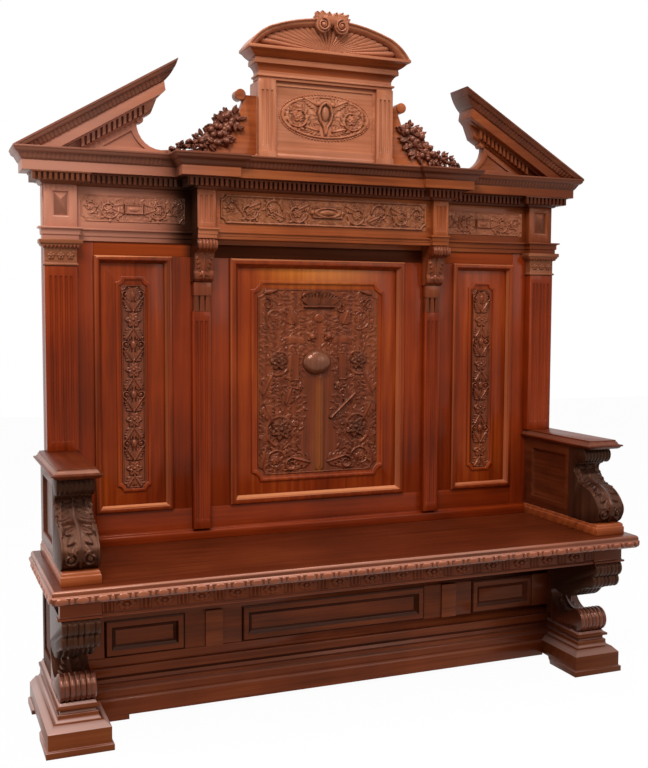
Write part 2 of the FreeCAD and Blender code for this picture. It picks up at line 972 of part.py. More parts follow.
def corner_block():
    """Block over an outer pilaster with a sunk field and a pyramid."""
    centre = outer_pilaster_centre - 3.0
    half = outer_pilaster_half
    face = back_face_y - corner_block_proud
    body = block(centre - half, centre + half, face, back_face_y, architrave_top, frieze_top)
    field_half = 22.0
    low = architrave_top + 32.0
    high = frieze_top - 20.0
    sunk = block(centre - field_half, centre + field_half, face - 1.0, face + 6.0, low, high)
    base_y = face + 6.0
    half_height = (high - low) / 2 - 4.0
    reach = field_half - 3.0
    section = [(0.0, base_y), (reach, face - 5.0)]
    pyramid = rect_pyramid(
        section, centre - reach, centre + reach + 0.02,
        low + 4.0, low + 4.0 + 2 * half_height,
    )
    return fused([body.cut(sunk), pyramid])


def centre_frieze():
    """Box of the breakfront, which hangs forward of the back and shows its soffit."""
    outline = [
        (rear_y, frame_top),
        (back_face_y, frame_top),
        (back_face_y, breakfront_bottom),
        (breakfront_y, breakfront_bottom),
        (breakfront_y, frieze_top),
        (rear_y, frieze_top),
    ]
    return prism_x(outline, -breakfront_half, breakfront_half)


def frieze_block():
    """Fluted block at one end of the breakfront."""
    body = block(
        frieze_block_inner, breakfront_half, frieze_block_y, breakfront_y,
        frieze_block_low, frieze_top,
    )
    centre = (frieze_block_inner + breakfront_half) / 2
    cutters = flutes_across(
        centre, frieze_block_width * 0.39, 3, frieze_block_y,
        frieze_block_low + 16.0, frieze_top - 18.0, flute_radius,
    )
    return cut_all(body, cutters)


def console():
    """Scrolled bracket under the breakfront, with a drop and three guttae."""
    back = back_face_y
    top = breakfront_bottom
    centre = (frieze_block_inner + breakfront_half) / 2

    def at(out, down):
        return back - console_depth * out, top - console_height * down

    outline = [
        at(0.0, 0.0),
        at(0.711, 0.0),
        at(0.822, 0.030),
        (at(1.0, 0.149), at(0.822, 0.269)),
        (at(0.622, 0.299), at(0.533, 0.388)),
        (at(0.511, 0.567), at(0.422, 0.731)),
        (at(0.456, 0.866), at(0.267, 0.985)),
        at(0.0, 1.0),
    ]
    body = prism_x(in_chords(outline, scroll_chords), centre - console_half, centre + console_half)
    drop_low = inner_pilaster_top + 50.0
    drop = block(
        centre - console_half + 3.0, centre + console_half - 3.0,
        back - 26.0, back, drop_low, top - console_height + 1.0,
    )
    pieces = [body, drop]
    for index in (-1, 0, 1):
        x = centre + index * (console_half - 3.0) * 0.66
        peg = [
            (x - 8.5, inner_pilaster_top),
            (x + 8.5, inner_pilaster_top),
            (x + 6.0, drop_low),
            (x - 6.0, drop_low),
        ]
        pieces.append(prism_y(peg, back - 22.0, back - 6.0))
    pieces.append(block(
        centre - console_half + 5.0, centre + console_half - 5.0,
        back - 12.0, back, inner_pilaster_top, drop_low,
    ))
    return fused(pieces)


def bed_profile():
    """Bed mould and the plain band behind the dentils."""
    return [
        (0.0, frieze_top),
        ((6.0, frieze_top + 1.5), (9.0, frieze_top + 7.0)),
        (dentil_projection - 18.0, frieze_top + 7.0),
        (dentil_projection - 18.0, frieze_top + 9.0 + dentil_height),
        (dentil_projection + 3.0, frieze_top + 9.0 + dentil_height),
        (dentil_projection + 3.0, corona_bottom),
    ]


def crown_profile():
    """Corona, cyma and top fillet of the cornice."""
    rise = cornice_top - corona_bottom
    return [
        (0.0, corona_bottom),
        (corona_projection, corona_bottom),
        (corona_projection, corona_bottom + 28.0),
        (corona_projection + 3.0, corona_bottom + 30.0),
        (
            (corona_projection + 7.0, corona_bottom + 36.0),
            (corona_projection + 13.0, corona_bottom + rise * 0.70),
        ),
        ((cornice_projection - 5.0, cornice_top - 15.0), (cornice_projection - 2.0, cornice_top - 7.0)),
        (cornice_projection, cornice_top - 6.0),
        (cornice_projection, cornice_top),
    ]


def dentil(x_low, x_high, y_low, y_high):
    """One tooth under the corona."""
    low = frieze_top + 8.0
    return block(x_low, x_high, y_low, y_high, low, low + dentil_height + 2.0)


def dentils_along(x_low, x_high, plane):
    """Row of teeth across the front of a band, centred between two ends."""
    count = int((x_high - x_low - dentil_width) / dentil_pitch) + 1
    start = (x_low + x_high - (count - 1) * dentil_pitch) / 2
    teeth = []
    for index in range(count):
        x = start + index * dentil_pitch
        teeth.append(dentil(
            x - dentil_width / 2, x + dentil_width / 2,
            plane - dentil_projection, plane - dentil_projection + 20.0,
        ))
    return teeth


def dentils_back(x_face, y_low, y_high):
    """Row of teeth along a side that faces +X."""
    count = int((y_high - y_low - dentil_width) / dentil_pitch) + 1
    teeth = []
    for index in range(count):
        y = y_low + dentil_width / 2 + index * dentil_pitch
        teeth.append(dentil(
            x_face + dentil_projection - 20.0, x_face + dentil_projection,
            y - dentil_width / 2, y + dentil_width / 2,
        ))
    return teeth


def breakfront_plan(profile):
    """A profile run round the breakfront and its two end breaks."""
    middle = moulded_block(
        -frieze_block_inner, frieze_block_inner, breakfront_y, rear_y,
        profile, left=False, right=False,
    )
    side = moulded_block(frieze_block_inner, breakfront_half, frieze_block_y, rear_y, profile)
    return fused([middle, side, twin(side)])


def wing_dentil_course(centre_course):
    """Bed mould and dentils over one wing, breaking forward over the corner block."""
    profile = bed_profile()
    run = moulded_block(breakfront_half, post_outer, back_face_y, rear_y, profile, left=False)
    break_inner = outer_pilaster_centre - outer_pilaster_half - 3.0
    forward = moulded_block(break_inner, post_outer, back_face_y - corner_block_proud, rear_y, profile)
    break_y = back_face_y - corner_block_proud
    teeth = dentils_along(break_inner - dentil_projection, post_outer + dentil_projection, break_y)
    teeth += dentils_along(
        breakfront_half + dentil_projection + 14.0, break_inner - dentil_projection - 4.0, back_face_y,
    )
    teeth += dentils_back(post_outer, break_y - dentil_projection + dentil_pitch, rear_y)
    return fused([run, forward] + teeth).cut(centre_course)


def centre_dentil_course():
    """Bed mould and dentils round the breakfront."""
    base = breakfront_plan(bed_profile())
    inner = frieze_block_inner - dentil_projection
    teeth = dentils_along(-inner + 4.0, inner - 4.0, breakfront_y)
    ends = dentils_along(inner, breakfront_half + dentil_projection, frieze_block_y)
    first_y = frieze_block_y - dentil_projection + dentil_pitch
    returns = dentils_back(breakfront_half, first_y, back_face_y - 20.0)
    side = ends + returns
    return fused([base] + teeth + side + [twin(tooth) for tooth in side])


def wing_cornice(centre):
    """Corona and cyma over one wing, scribed to the breakfront's cornice."""
    run = moulded_block(breakfront_half, post_outer, back_face_y, rear_y, crown_profile(), left=False)
    return run.cut(centre)


# Broken pediment

def rake_frame():
    """Foot, direction and normal of the raking cornice's top line, in (x, z)."""
    foot_x = post_outer + cornice_projection
    run = foot_x - rake_tip_x
    length = math.hypot(run, rake_tip_rise)
    return foot_x, -run / length, rake_tip_rise / length, length


def on_rake(along, down):
    """Point at a distance up the slope and a distance square below it."""
    foot_x, dir_x, dir_z, _ = rake_frame()
    return (foot_x + dir_x * along - dir_z * down, cornice_top + dir_z * along + dir_x * down)


def raking_cornice():
    """Raking cornice with plumb dentils and a returned inner end."""
    _, dir_x, dir_z, length = rake_frame()
    crown = cornice_top - corona_bottom
    total = cornice_top - frieze_top
    section = [
        (rear_y - 20.0, 0.0),
        (back_face_y - cornice_projection, 0.0),
        (back_face_y - cornice_projection, 6.0),
        (back_face_y - cornice_projection + 2.0, 7.0),
        (
            (back_face_y - cornice_projection + 5.0, 15.0),
            (back_face_y - corona_projection - 13.0, crown * 0.30),
        ),
        ((back_face_y - corona_projection - 7.0, 30.0), (back_face_y - corona_projection - 3.0, 36.0)),
        (back_face_y - corona_projection, 38.0),
        (back_face_y - corona_projection, crown),
        (back_face_y - dentil_projection - 3.0, crown),
        (back_face_y - dentil_projection - 3.0, crown + 4.0),
        (back_face_y - dentil_projection + 18.0, crown + 4.0),
        (back_face_y - dentil_projection + 18.0, total - 7.0),
        (back_face_y - tympanum_proud - 8.0, total - 7.0),
        (back_face_y - tympanum_proud, total),
        (rear_y - 20.0, total),
    ]
    overrun = 200.0
    low_x, low_z = on_rake(-overrun, 0.0)
    normal_x, normal_z = -dir_z, dir_x

    def place(y, down):
        return Vec(low_x + normal_x * down, y, low_z + normal_z * down)

    swept = face_of(in_chords(section), place)
    reach = length + 2 * overrun
    swept = swept.extrude(Vec(dir_x * reach, 0, dir_z * reach))
    tip = on_rake(length, 0.0)
    cyma_end = on_rake(length - 66.0, 38.0)
    corona_end = on_rake(length - 76.0, crown - 3.0)
    bed_end = on_rake(length - 100.0, crown + 4.0)
    last = on_rake(length - rake_bed_reach, total + 0.5)
    slope = (tip[1] - cornice_top) / (rake_frame()[0] - tip[0])
    floor_x = last[0] + (last[1] - cornice_top) / slope
    outline = [
        (rake_frame()[0] + 40.0, cornice_top),
        on_rake(length, -20.0),
        tip,
        ((tip[0] + 14.0, tip[1] - 36.0), cyma_end),
        corona_end,
        bed_end,
        last,
        (floor_x, cornice_top),
    ]
    cornice = swept.common(prism_y(outline, front_y, rear_y))
    teeth = rake_dentils(crown, total, length)
    below = block(0.0, end_centre_x * 2, front_y, rear_y, cornice_top - 100.0, cornice_top)
    return fused([cornice] + teeth).cut(below)


def rake_dentils(crown, total, length):
    """Plumb teeth under the raking corona."""
    _, dir_x, dir_z, _ = rake_frame()
    pitch = dentil_pitch / abs(dir_x)
    teeth = []
    first = rake_first_dentil
    last = length - rake_bed_reach + 14.0
    count = int((last - first) / pitch)
    for index in range(count):
        start = first + index * pitch
        a = on_rake(start, crown + 3.0)
        b = on_rake(start + dentil_width / abs(dir_x), crown + 3.0)
        drop = (total - 8.0 - crown - 3.0) / abs(dir_x)
        outline = [a, b, (b[0], b[1] - drop), (a[0], a[1] - drop)]
        front = back_face_y - dentil_projection
        teeth.append(prism_y(outline, front, front + 20.0))
    return teeth


def scoop_frame():
    """Inner end of the tympanum's sloping edge, and the centre of its scooped edge, in (x, z)."""
    total = cornice_top - frieze_top
    _, _, _, length = rake_frame()
    start = on_rake(length - rake_end_reach - 16.0, total - 1.0)
    angle = math.radians(4.5)
    centre_x = start[0] - tympanum_scoop_radius * math.cos(angle)
    centre_z = start[1] - tympanum_scoop_radius * math.sin(angle)
    return start, (centre_x, centre_z)


def tympanum_toe():
    """Inner end of the tympanum's scooped edge, in (x, z)."""
    _, centre = scoop_frame()
    angle = math.radians(-102.0)
    r = tympanum_scoop_radius
    return centre[0] + r * math.cos(angle), centre[1] + r * math.sin(angle)


def tympanum(rake):
    """Board that fills the half pediment, with a scooped inner edge, a sunk triangle and a scroll."""
    total = cornice_top - frieze_top
    foot_x, dir_x, dir_z, length = rake_frame()
    start, centre = scoop_frame()
    r = tympanum_scoop_radius
    low = on_rake(-dir_x * (total - 1.0) / dir_z, total - 1.0)
    toe = tympanum_toe()
    middle_angle = math.radians(-49.0)
    middle = (centre[0] + r * math.cos(middle_angle), centre[1] + r * math.sin(middle_angle))
    outline = [(toe[0], cornice_top), low, start, (middle, toe)]
    face = back_face_y - tympanum_proud
    board = prism_y(in_chords(outline, scroll_chords), face, face + tympanum_thickness)
    depth = 6.0
    tri_low = cornice_top + 20.0
    tri_inner = centre[0] + r * 0.66
    sunk = [
        (tri_inner, tri_low),
        (tri_inner + 128.0, tri_low),
        (tri_inner + 42.0, tri_low + 52.0),
        ((tri_inner + 24.0, tri_low + 22.0), (tri_inner, tri_low)),
    ]
    board = board.cut(prism_y(sunk, face - 1.0, face + depth))
    spot = (start[0] - rake_drop_radius * 0.8, start[1] + rake_drop_radius * 0.3)
    drop = Part.makeCylinder(
        rake_drop_radius, tympanum_thickness, Vec(spot[0], face - 5.0, spot[1]), Vec(0, 1, 0),
    )
    return main_piece(fused([board, drop]).cut(rake))


# Tabernacle

def tabernacle_case():
    """Box over the middle of the cornice, with a sunk field for the cartouche."""
    profile = [
        (8.0, case_low),
        (8.0, case_low + 20.0),
        ((3.0, case_low + 22.0), (0.0, case_low + 30.0)),
        (0.0, case_top),
    ]
    body = moulded_block(-case_half, case_half, case_face_y, case_rear_y, profile)
    inner = case_half - case_pilaster_width - 6.0
    sunk = block(-inner, inner, case_face_y - 1.0, case_face_y + 5.0, case_low + 46.0, case_top - 14.0)
    return body.cut(sunk)


def case_pilasters(case):
    """Two short fluted pilasters on the front of the case."""
    centre = case_half - case_pilaster_width / 2 + 3.0
    half = case_pilaster_width / 2
    face = case_face_y - case_pilaster_proud
    low = case_low + 30.0
    shaft = block(centre - half, centre + half, face, case_face_y, low, case_top)
    foot = block(centre - half - 3.0, centre + half + 2.0, face - 4.0, case_face_y, case_low, low)
    cutters = flutes_across(
        centre, half * 0.78, inner_flutes, face,
        low + 18.0, case_top - 32.0, flute_radius,
    )
    shaft = cut_all(shaft, cutters)
    piece = fused([shaft, foot]).cut(case)
    return [piece, twin(piece)]


def case_cornice():
    """Cornice of the tabernacle: bed mould, corona and cyma."""
    z = case_top
    p = case_cornice_projection
    profile = [
        (2.0, z),
        (2.0, z + 8.0),
        (8.0, z + 9.0),
        (8.0, z + 15.0),
        (0.0, z + 17.0),
        (0.0, z + 27.0),
        ((4.0, z + 36.0), (12.0, z + 45.0)),
        (18.0, z + 47.0),
        (18.0, z + 58.0),
        (16.0, z + 64.0),
        ((p - 20.0, z + 71.0), (p - 13.0, z + 77.0)),
        ((p - 8.0, z + 81.5), (p - 3.0, z + 83.5)),
        (p, z + 85.0),
        (p, case_cornice_top),
    ]
    front = case_face_y - case_pilaster_proud + 6.0
    return moulded_block(-case_half, case_half, front, case_rear_y - case_crown_setback, profile)


def crown_outline(half, rise, base):
    """Front view of the arch: a flat curve with rounder shoulders."""
    shoulder_x = half * 0.74
    shoulder_z = base + rise * 0.62
    side_x = half * 0.905
    side_z = base + rise * 0.32
    return [
        (-half, base),
        (half, base),
        ((side_x, side_z), (shoulder_x, shoulder_z)),
        ((0.0, base + rise), (-shoulder_x, shoulder_z)),
        ((-side_x, side_z), (-half, base)),
    ]


def shell_groove(hub, angle, length):
    """Cutter for one groove of the shell: a wedge that widens away from the hub."""
    outward = Vec(math.cos(angle), 0, math.sin(angle))
    across = Vec(-math.sin(angle), 0, math.cos(angle))
    depth = Vec(0, 1, 0)

    def section(distance, half_width, deep):
        middle = hub + outward * distance
        corners = [
            middle - across * half_width - depth,
            middle + across * half_width - depth,
            middle + depth * deep,
        ]
        return Part.makePolygon(corners + [corners[0]])

    return Part.makeLoft([section(0.0, 1.5, 1.0), section(length, 26.0, 22.0)], True, True)


def shell_arch():
    """Segmental pediment: a moulded arch over a fan of shell flutes."""
    half = case_half + case_cornice_projection - 2.0
    base = case_cornice_top
    rear = case_rear_y - case_crown_setback
    outer = crown_outline(half, arch_rise, base)
    inner_half = half - arch_band * 1.3
    inner = crown_outline(inner_half, arch_rise - arch_band, base)
    front = arch_front_y()
    band = prism_y(outer, front, rear).cut(prism_y(inner, front - 1.0, rear + 1.0))
    step = crown_outline(half - 9.0, arch_rise - 8.0, base)
    ring = prism_y(outer, front - 8.0, front).cut(prism_y(step, front - 9.0, front + 1.0))
    shell_y = front + shell_setback
    shell = prism_y(inner, shell_y, rear - 4.0)
    hub = Vec(0.0, shell_y - 2.0, base + 2.0)
    for index in range(shell_flutes):
        angle = math.pi * (0.06 + 0.88 * index / (shell_flutes - 1))
        shell = shell.cut(shell_groove(hub, angle, inner_half + 40.0))
    return fused([band, ring, shell])


def arch_front_y():
    """Front plane of the arch band over the tabernacle."""
    return case_face_y - case_pilaster_proud - case_cornice_projection + 18.0


def crest(arch):
    """Crest at the crown of the arch: a lobed leaf with two volutes in front."""
    top = case_cornice_top + arch_rise
    front = arch_front_y() - 8.0

    def at(out, up):
        return crest_half * out, top + crest_height * up

    leaf = [
        at(-0.90, -0.5),
        (at(-1.04, -0.1), at(-0.84, 0.30)),
        (at(-0.74, 0.80), at(-0.44, 0.78)),
        (at(0.0, 1.0), at(0.44, 0.78)),
        (at(0.74, 0.80), at(0.84, 0.30)),
        (at(1.04, -0.1), at(0.90, -0.5)),
        at(0.40, -1.1),
        at(-0.40, -1.1),
    ]
    pieces = [prism_y(in_chords(leaf), front - 6.0, front + 36.0)]
    for side in (-1, 1):
        volute = small_round(
            side * crest_half * 0.46, top - crest_height * 0.46, crest_volute_radius, volute_sides,
        )
        pieces.append(prism_y(volute, front - 16.0, front))
    return fused(pieces).cut(arch)


def side_scroll_reach():
    """Outer end of a side scroll, against the tympanum's toe."""
    return tympanum_toe()[0] - joint_gap


def side_scroll(case):
    """Curved bracket beside the tabernacle, with a roll at its top."""
    low = cornice_top
    top = cornice_top + side_scroll_height
    face = back_face_y - side_scroll_proud
    reach = side_scroll_reach()
    span = reach - case_half
    inner = case_half + span * 0.146
    outline = [
        (case_half, low),
        (reach, low),
        (reach, low + side_scroll_height * 0.1),
        ((case_half + span * 0.403, low + side_scroll_height * 0.35), (inner, top - 20.0)),
        (inner, top),
        (case_half, top),
    ]
    board = prism_y(in_chords(outline, scroll_chords), face, face + side_scroll_thickness)
    roll = small_round(inner + 10.0, top, side_scroll_roll, volute_sides)
    roll = prism_y(roll, face - 6.0, face + side_scroll_thickness + 6.0)
    return fused([board, roll]).cut(case)


def fruit_swag(board):
    """Swag of carved fruit along the curved edge of a side scroll: rounds with a raised middle."""
    face = back_face_y - side_scroll_proud
    span = side_scroll_reach() - case_half
    fruits = []
    for index in range(swag_fruits):
        t = index / (swag_fruits - 1)
        radius = swag_radius * (1.0 - 0.55 * t + 0.1 * (-1) ** index)
        x = case_half + span * (0.30 + 0.63 * t)
        z = cornice_top + side_scroll_height * (0.62 * (1.0 - t) ** 1.2 + 0.11)
        whole = small_round(x, z, radius, fruit_sides)
        middle = small_round(x, z, radius * 0.66, fruit_sides)
        fruits.append(prism_y(whole, face - swag_proud / 2, face + 8.0))
        fruits.append(prism_y(middle, face - swag_proud, face))
    swag = fused(fruits)
    floor = block(0.0, end_centre_x, front_y, rear_y, frieze_top, cornice_top)
    return main_piece(cut_all(swag, [board, floor]))


# Writing one file for each node

def write(name, solids):
    """Save a piece, or a group of like pieces, as one node."""
    if not isinstance(solids, list):
        solids = [solids]
    shape = solids[0] if len(solids) == 1 else Part.makeCompound(solids)
    for solid in shape.Solids:
        if not solid.isValid() or solid.Volume <= 0:
            print("check", name)
    shape.exportStep("parts/" + name + ".step")
    print(name, len(shape.Solids), "solids", round(shape.Volume / 1e6, 2), "litres")


def write_pair(name, solid):
    """Save a piece and its twin as a right and a left node."""
    write("right_" + name, solid)
    write("left_" + name, twin(solid))


def main():
    os.makedirs("parts", exist_ok=True)
    foot = plinth_foot()
    end = end_board()
    scroll = lower_scroll()
    write_pair("plinth_foot", foot)
    write_pair("end_board", end)
    write_pair("end_panel", end_panel())
    write_pair("lower_scroll", scroll)
    write_pair("seat_corbel", seat_corbel())
    write("base_plinth_board", plinth_board(foot))
    write("base_moulding", base_moulding(foot, end, scroll))
    write("base_frame_members", base_frame())
    write("base_panels", base_panels())
    write("base_back_board", base_back_board())
    write("plinth_packing_block", packing_block())
    write("seat_board", seat_board())
    write("seat_apron", seat_apron())
    corner = apron_block()
    write("apron_blocks", [corner, twin(corner)])
    write("seat_bearers", seat_bearers())
    write_pair("arm_base", arm_base())
    write_pair("arm_board", arm_board())
    write_pair("arm_console", arm_console())
    write_pair("arm_cap", arm_cap())
    write("back_frame_members", back_frame())
    write("back_posts", back_posts())
    wing_panel = back_panel(wing_opening_inner, wing_opening_outer, border_margin, 18.0)
    write("right_back_panel", wing_panel)
    write("left_back_panel", twin(wing_panel))
    write("centre_back_panel", back_panel(-centre_opening, centre_opening, border_margin + 6.0, 30.0))
    write("back_panel_mouldings", panel_mouldings())
    write("seat_skirting", seat_skirting())
    write_pair("outer_pilaster", pilaster(
        outer_pilaster_centre, outer_pilaster_half, outer_pilaster_proud,
        arm_cap_top, outer_pilaster_top, outer_flutes,
    ))
    capital = pilaster_capital()
    write("pilaster_capitals", [capital, twin(capital)])
    inner = pilaster(
        inner_pilaster_centre, inner_pilaster_half, inner_pilaster_proud,
        seat_height + skirting_height, inner_pilaster_top, inner_flutes,
    )
    write("inner_pilasters", [inner, twin(inner)])
    write("architraves", architraves())
    frieze = wing_frieze()
    write("wing_friezes", [frieze, twin(frieze)])
    boss = corner_block()
    write("corner_blocks", [boss, twin(boss)])
    write("centre_frieze", centre_frieze())
    fluted = frieze_block()
    write("frieze_blocks", [fluted, twin(fluted)])
    write_pair("console", console())
    centre_course = centre_dentil_course()
    wing_course = wing_dentil_course(breakfront_plan(bed_profile()).fuse(centre_course))
    write("dentil_courses", [centre_course, wing_course, twin(wing_course)])
    centre_cornice = breakfront_plan(crown_profile())
    write("centre_cornice", centre_cornice)
    write_pair("wing_cornice", wing_cornice(centre_cornice))
    rake = raking_cornice()
    board = tympanum(rake)
    write_pair("raking_cornice", rake)
    write("tympanums", [board, twin(board)])
    case = tabernacle_case()
    write("tabernacle_case", case)
    write("tabernacle_pilasters", case_pilasters(case))
    write("tabernacle_cornice", case_cornice())
    arch = shell_arch()
    write("shell_arch", arch)
    write("crest_scrolls", crest(arch))
    bracket = side_scroll(case)
    write("side_scrolls", [bracket, twin(bracket)])
    swag = fruit_swag(bracket)
    write("fruit_swags", [swag, twin(swag)])


main()
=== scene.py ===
import json
import logging
import math
from collections.abc import Callable, Sequence
from dataclasses import dataclass, field
from enum import Enum
from functools import partial
from typing import Any

import bmesh
import bpy
import numpy as np
from mathutils import Matrix, Vector

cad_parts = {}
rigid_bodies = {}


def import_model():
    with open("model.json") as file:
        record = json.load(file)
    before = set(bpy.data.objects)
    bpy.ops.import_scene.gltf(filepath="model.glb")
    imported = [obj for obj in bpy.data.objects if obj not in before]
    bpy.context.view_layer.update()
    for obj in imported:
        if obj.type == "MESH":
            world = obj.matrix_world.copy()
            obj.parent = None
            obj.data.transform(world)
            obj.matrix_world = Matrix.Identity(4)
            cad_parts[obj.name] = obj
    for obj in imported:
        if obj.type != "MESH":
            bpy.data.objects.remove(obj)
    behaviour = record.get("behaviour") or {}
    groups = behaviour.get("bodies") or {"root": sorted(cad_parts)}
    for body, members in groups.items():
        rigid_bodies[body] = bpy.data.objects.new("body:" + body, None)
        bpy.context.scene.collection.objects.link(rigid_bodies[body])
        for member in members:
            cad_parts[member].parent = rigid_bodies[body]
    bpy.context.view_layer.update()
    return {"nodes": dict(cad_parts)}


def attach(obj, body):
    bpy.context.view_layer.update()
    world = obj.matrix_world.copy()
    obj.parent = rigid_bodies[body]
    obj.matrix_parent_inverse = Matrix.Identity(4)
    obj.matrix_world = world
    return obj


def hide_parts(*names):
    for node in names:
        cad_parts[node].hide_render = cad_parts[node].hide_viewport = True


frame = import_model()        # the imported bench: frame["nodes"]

LOG = logging.getLogger("bench")

Piece = bpy.types.Object
Shown = tuple[int, int, int]
Colour = tuple[float, float, float, float]
Point2 = tuple[float, float]
Point3 = tuple[float, float, float]
Step = Point2 | tuple[Point2, Point2]

# Sizes are in millimetres, places on the front are (x, z) and side outlines are (y, z)
MM = 0.001
SEED = 7
SIDES = ((-1, "left"), (1, "right"))

# Lower and upper end of the right raking cornice's top edge, and that slope's run and rise
RAKE_FOOT = (971.0, 1674.0)
RAKE_TIP = (493.0, 1957.0)
RAKE_LENGTH = math.hypot(RAKE_FOOT[0] - RAKE_TIP[0], RAKE_TIP[1] - RAKE_FOOT[1])
RAKE_RUN = (RAKE_FOOT[0] - RAKE_TIP[0]) / RAKE_LENGTH
RAKE_RISE = (RAKE_TIP[1] - RAKE_FOOT[1]) / RAKE_LENGTH

# Half width of the raised edge of an arm's front, and depth of the marks that carving tools leave
SWELL_HALF = 3.5
TOOL_MARKS = 0.35

WHITE = (1.0, 1.0, 1.0, 1.0)
# Darkening in carved hollows (dirt and painted shade), and the painted shadow beside the breakfront
DIRT_AND_SHADE_TONE = (22, 9, 5)
BREAKFRONT_SHADOW_TONE = (26, 11, 6)


def linear(value: int) -> float:
    """Linear light of one 8-bit value of a screen."""
    share = value / 255.0
    return share / 12.92 if share <= 0.04045 else ((share + 0.055) / 1.055) ** 2.4


def paint(red: int, green: int, blue: int) -> Colour:
    """Colour that a screen shows for three 8-bit values, as linear light."""
    return linear(red), linear(green), linear(blue), 1.0


# Shader and geometry trees

class Value:
    """A socket that adds its own Math nodes where it is used in an expression."""

    def __init__(self, graph: "Graph", socket: bpy.types.NodeSocket) -> None:
        """Wraps an output socket of a graph."""
        self.graph = graph
        self.socket = socket

    def _math(self, operation: str, *terms: Any) -> "Value":
        """Math node of one operation over its terms."""
        return self.graph.out("ShaderNodeMath", {"operation": operation}, dict(enumerate(terms)))

    def __add__(self, other: Any) -> "Value":
        """Sum."""
        return self._math("ADD", self, other)

    def __radd__(self, other: Any) -> "Value":
        """Sum, with the value on the right."""
        return self._math("ADD", other, self)

    def __sub__(self, other: Any) -> "Value":
        """Difference."""
        return self._math("SUBTRACT", self, other)

    def __rsub__(self, other: Any) -> "Value":
        """Difference, with the value on the right."""
        return self._math("SUBTRACT", other, self)

    def __mul__(self, other: Any) -> "Value":
        """Product."""
        return self._math("MULTIPLY", self, other)

    def __pow__(self, other: Any) -> "Value":
        """Power."""
        return self._math("POWER", self, other)

    def sine(self) -> "Value":
        """Sine of the value in radians."""
        return self._math("SINE", self)

    def cosine(self) -> "Value":
        """Cosine of the value in radians."""
        return self._math("COSINE", self)

    def root(self) -> "Value":
        """Square root."""
        return self._math("SQRT", self)

    def arctan2(self, other: Any) -> "Value":
        """Angle of the point whose height is this value and whose distance across is the other."""
        return self._math("ARCTAN2", self, other)

    def eased(self, low: float, high: float) -> "Value":
        """Smooth step from 0 at the low value to 1 at the high one."""
        inputs = {"Value": self, "From Min": low, "From Max": high}
        return self.graph.out("ShaderNodeMapRange", {"interpolation_type": "SMOOTHSTEP"}, inputs)


class Graph:
    """The nodes of one tree."""

    def __init__(self, tree: bpy.types.NodeTree) -> None:
        """Keeps the tree."""
        self.tree = tree

    @staticmethod
    def _find(sockets: Any, key: int | str) -> bpy.types.NodeSocket:
        """Socket by its identifier, or else by its number or name."""
        same = [socket for socket in sockets if socket.identifier == key]
        return same[0] if same else sockets[key]

    def node(self, kind: str, settings: dict[str, Any], inputs: dict[int | str, Any]) -> bpy.types.Node:
        """Adds a node.

        Args:
            kind: the node's type.
            settings: its settings, set first; "stops" are the places and colours of a ramp.
            inputs: values or links of its sockets.

        Returns:
            The node.
        """
        node = self.tree.nodes.new(kind)
        for name, value in settings.items():
            if name == "stops":
                ramp = node.color_ramp.elements
                while len(ramp) < len(value):
                    ramp.new(0.5)
                for element, (place, colour) in zip(ramp, value):
                    element.position = place
                    element.color = colour
            else:
                setattr(node, name, value)
        for key, value in inputs.items():
            socket = self._find(node.inputs, key)
            if isinstance(value, Value):
                self.tree.links.new(value.socket, socket)
            else:
                socket.default_value = value
        return node

    def out(
        self, kind: str, settings: dict[str, Any], inputs: dict[int | str, Any], output: int | str = 0,
    ) -> Value:
        """Adds a node and gives one of its outputs, with the arguments of node()."""
        return Value(self, self._find(self.node(kind, settings, inputs).outputs, output))

    def vector(self, x: Any, y: Any, z: Any) -> Value:
        """Vector out of three values."""
        return self.out("ShaderNodeCombineXYZ", {}, {0: x, 1: y, 2: z})

    def parts(self, vector: Value) -> list[Value]:
        """The three values of a vector."""
        outputs = self.node("ShaderNodeSeparateXYZ", {}, {0: vector}).outputs
        return [Value(self, output) for output in outputs]

    def noise(self, place: Value, scale: float, detail: float = 2.0) -> Value:
        """Noise of a scale and detail over a place, about 0 to 1."""
        return self.out("ShaderNodeTexNoise", {}, {"Vector": place, "Scale": scale, "Detail": detail})

    def mixed(self, share: Any, first: Any, second: Any) -> Value:
        """Colour between two colours."""
        inputs = {"Factor_Float": share, "A_Color": first, "B_Color": second}
        return self.out("ShaderNodeMix", {"data_type": "RGBA"}, inputs, "Result_Color")


def emptied(owner: bpy.types.Material | bpy.types.World) -> Graph:
    """Takes the first nodes out of a new material or world.

    Args:
        owner: the material or world.

    Returns:
        The graph of its empty tree.
    """
    owner.use_nodes = True
    owner.node_tree.nodes.clear()
    return Graph(owner.node_tree)


# Finishes

class Grain(Enum):
    """Direction of a piece's grain, as the order of the coordinates across, deep and along."""

    X = (1, 2, 0)
    Y = (0, 2, 1)
    Z = (0, 1, 2)


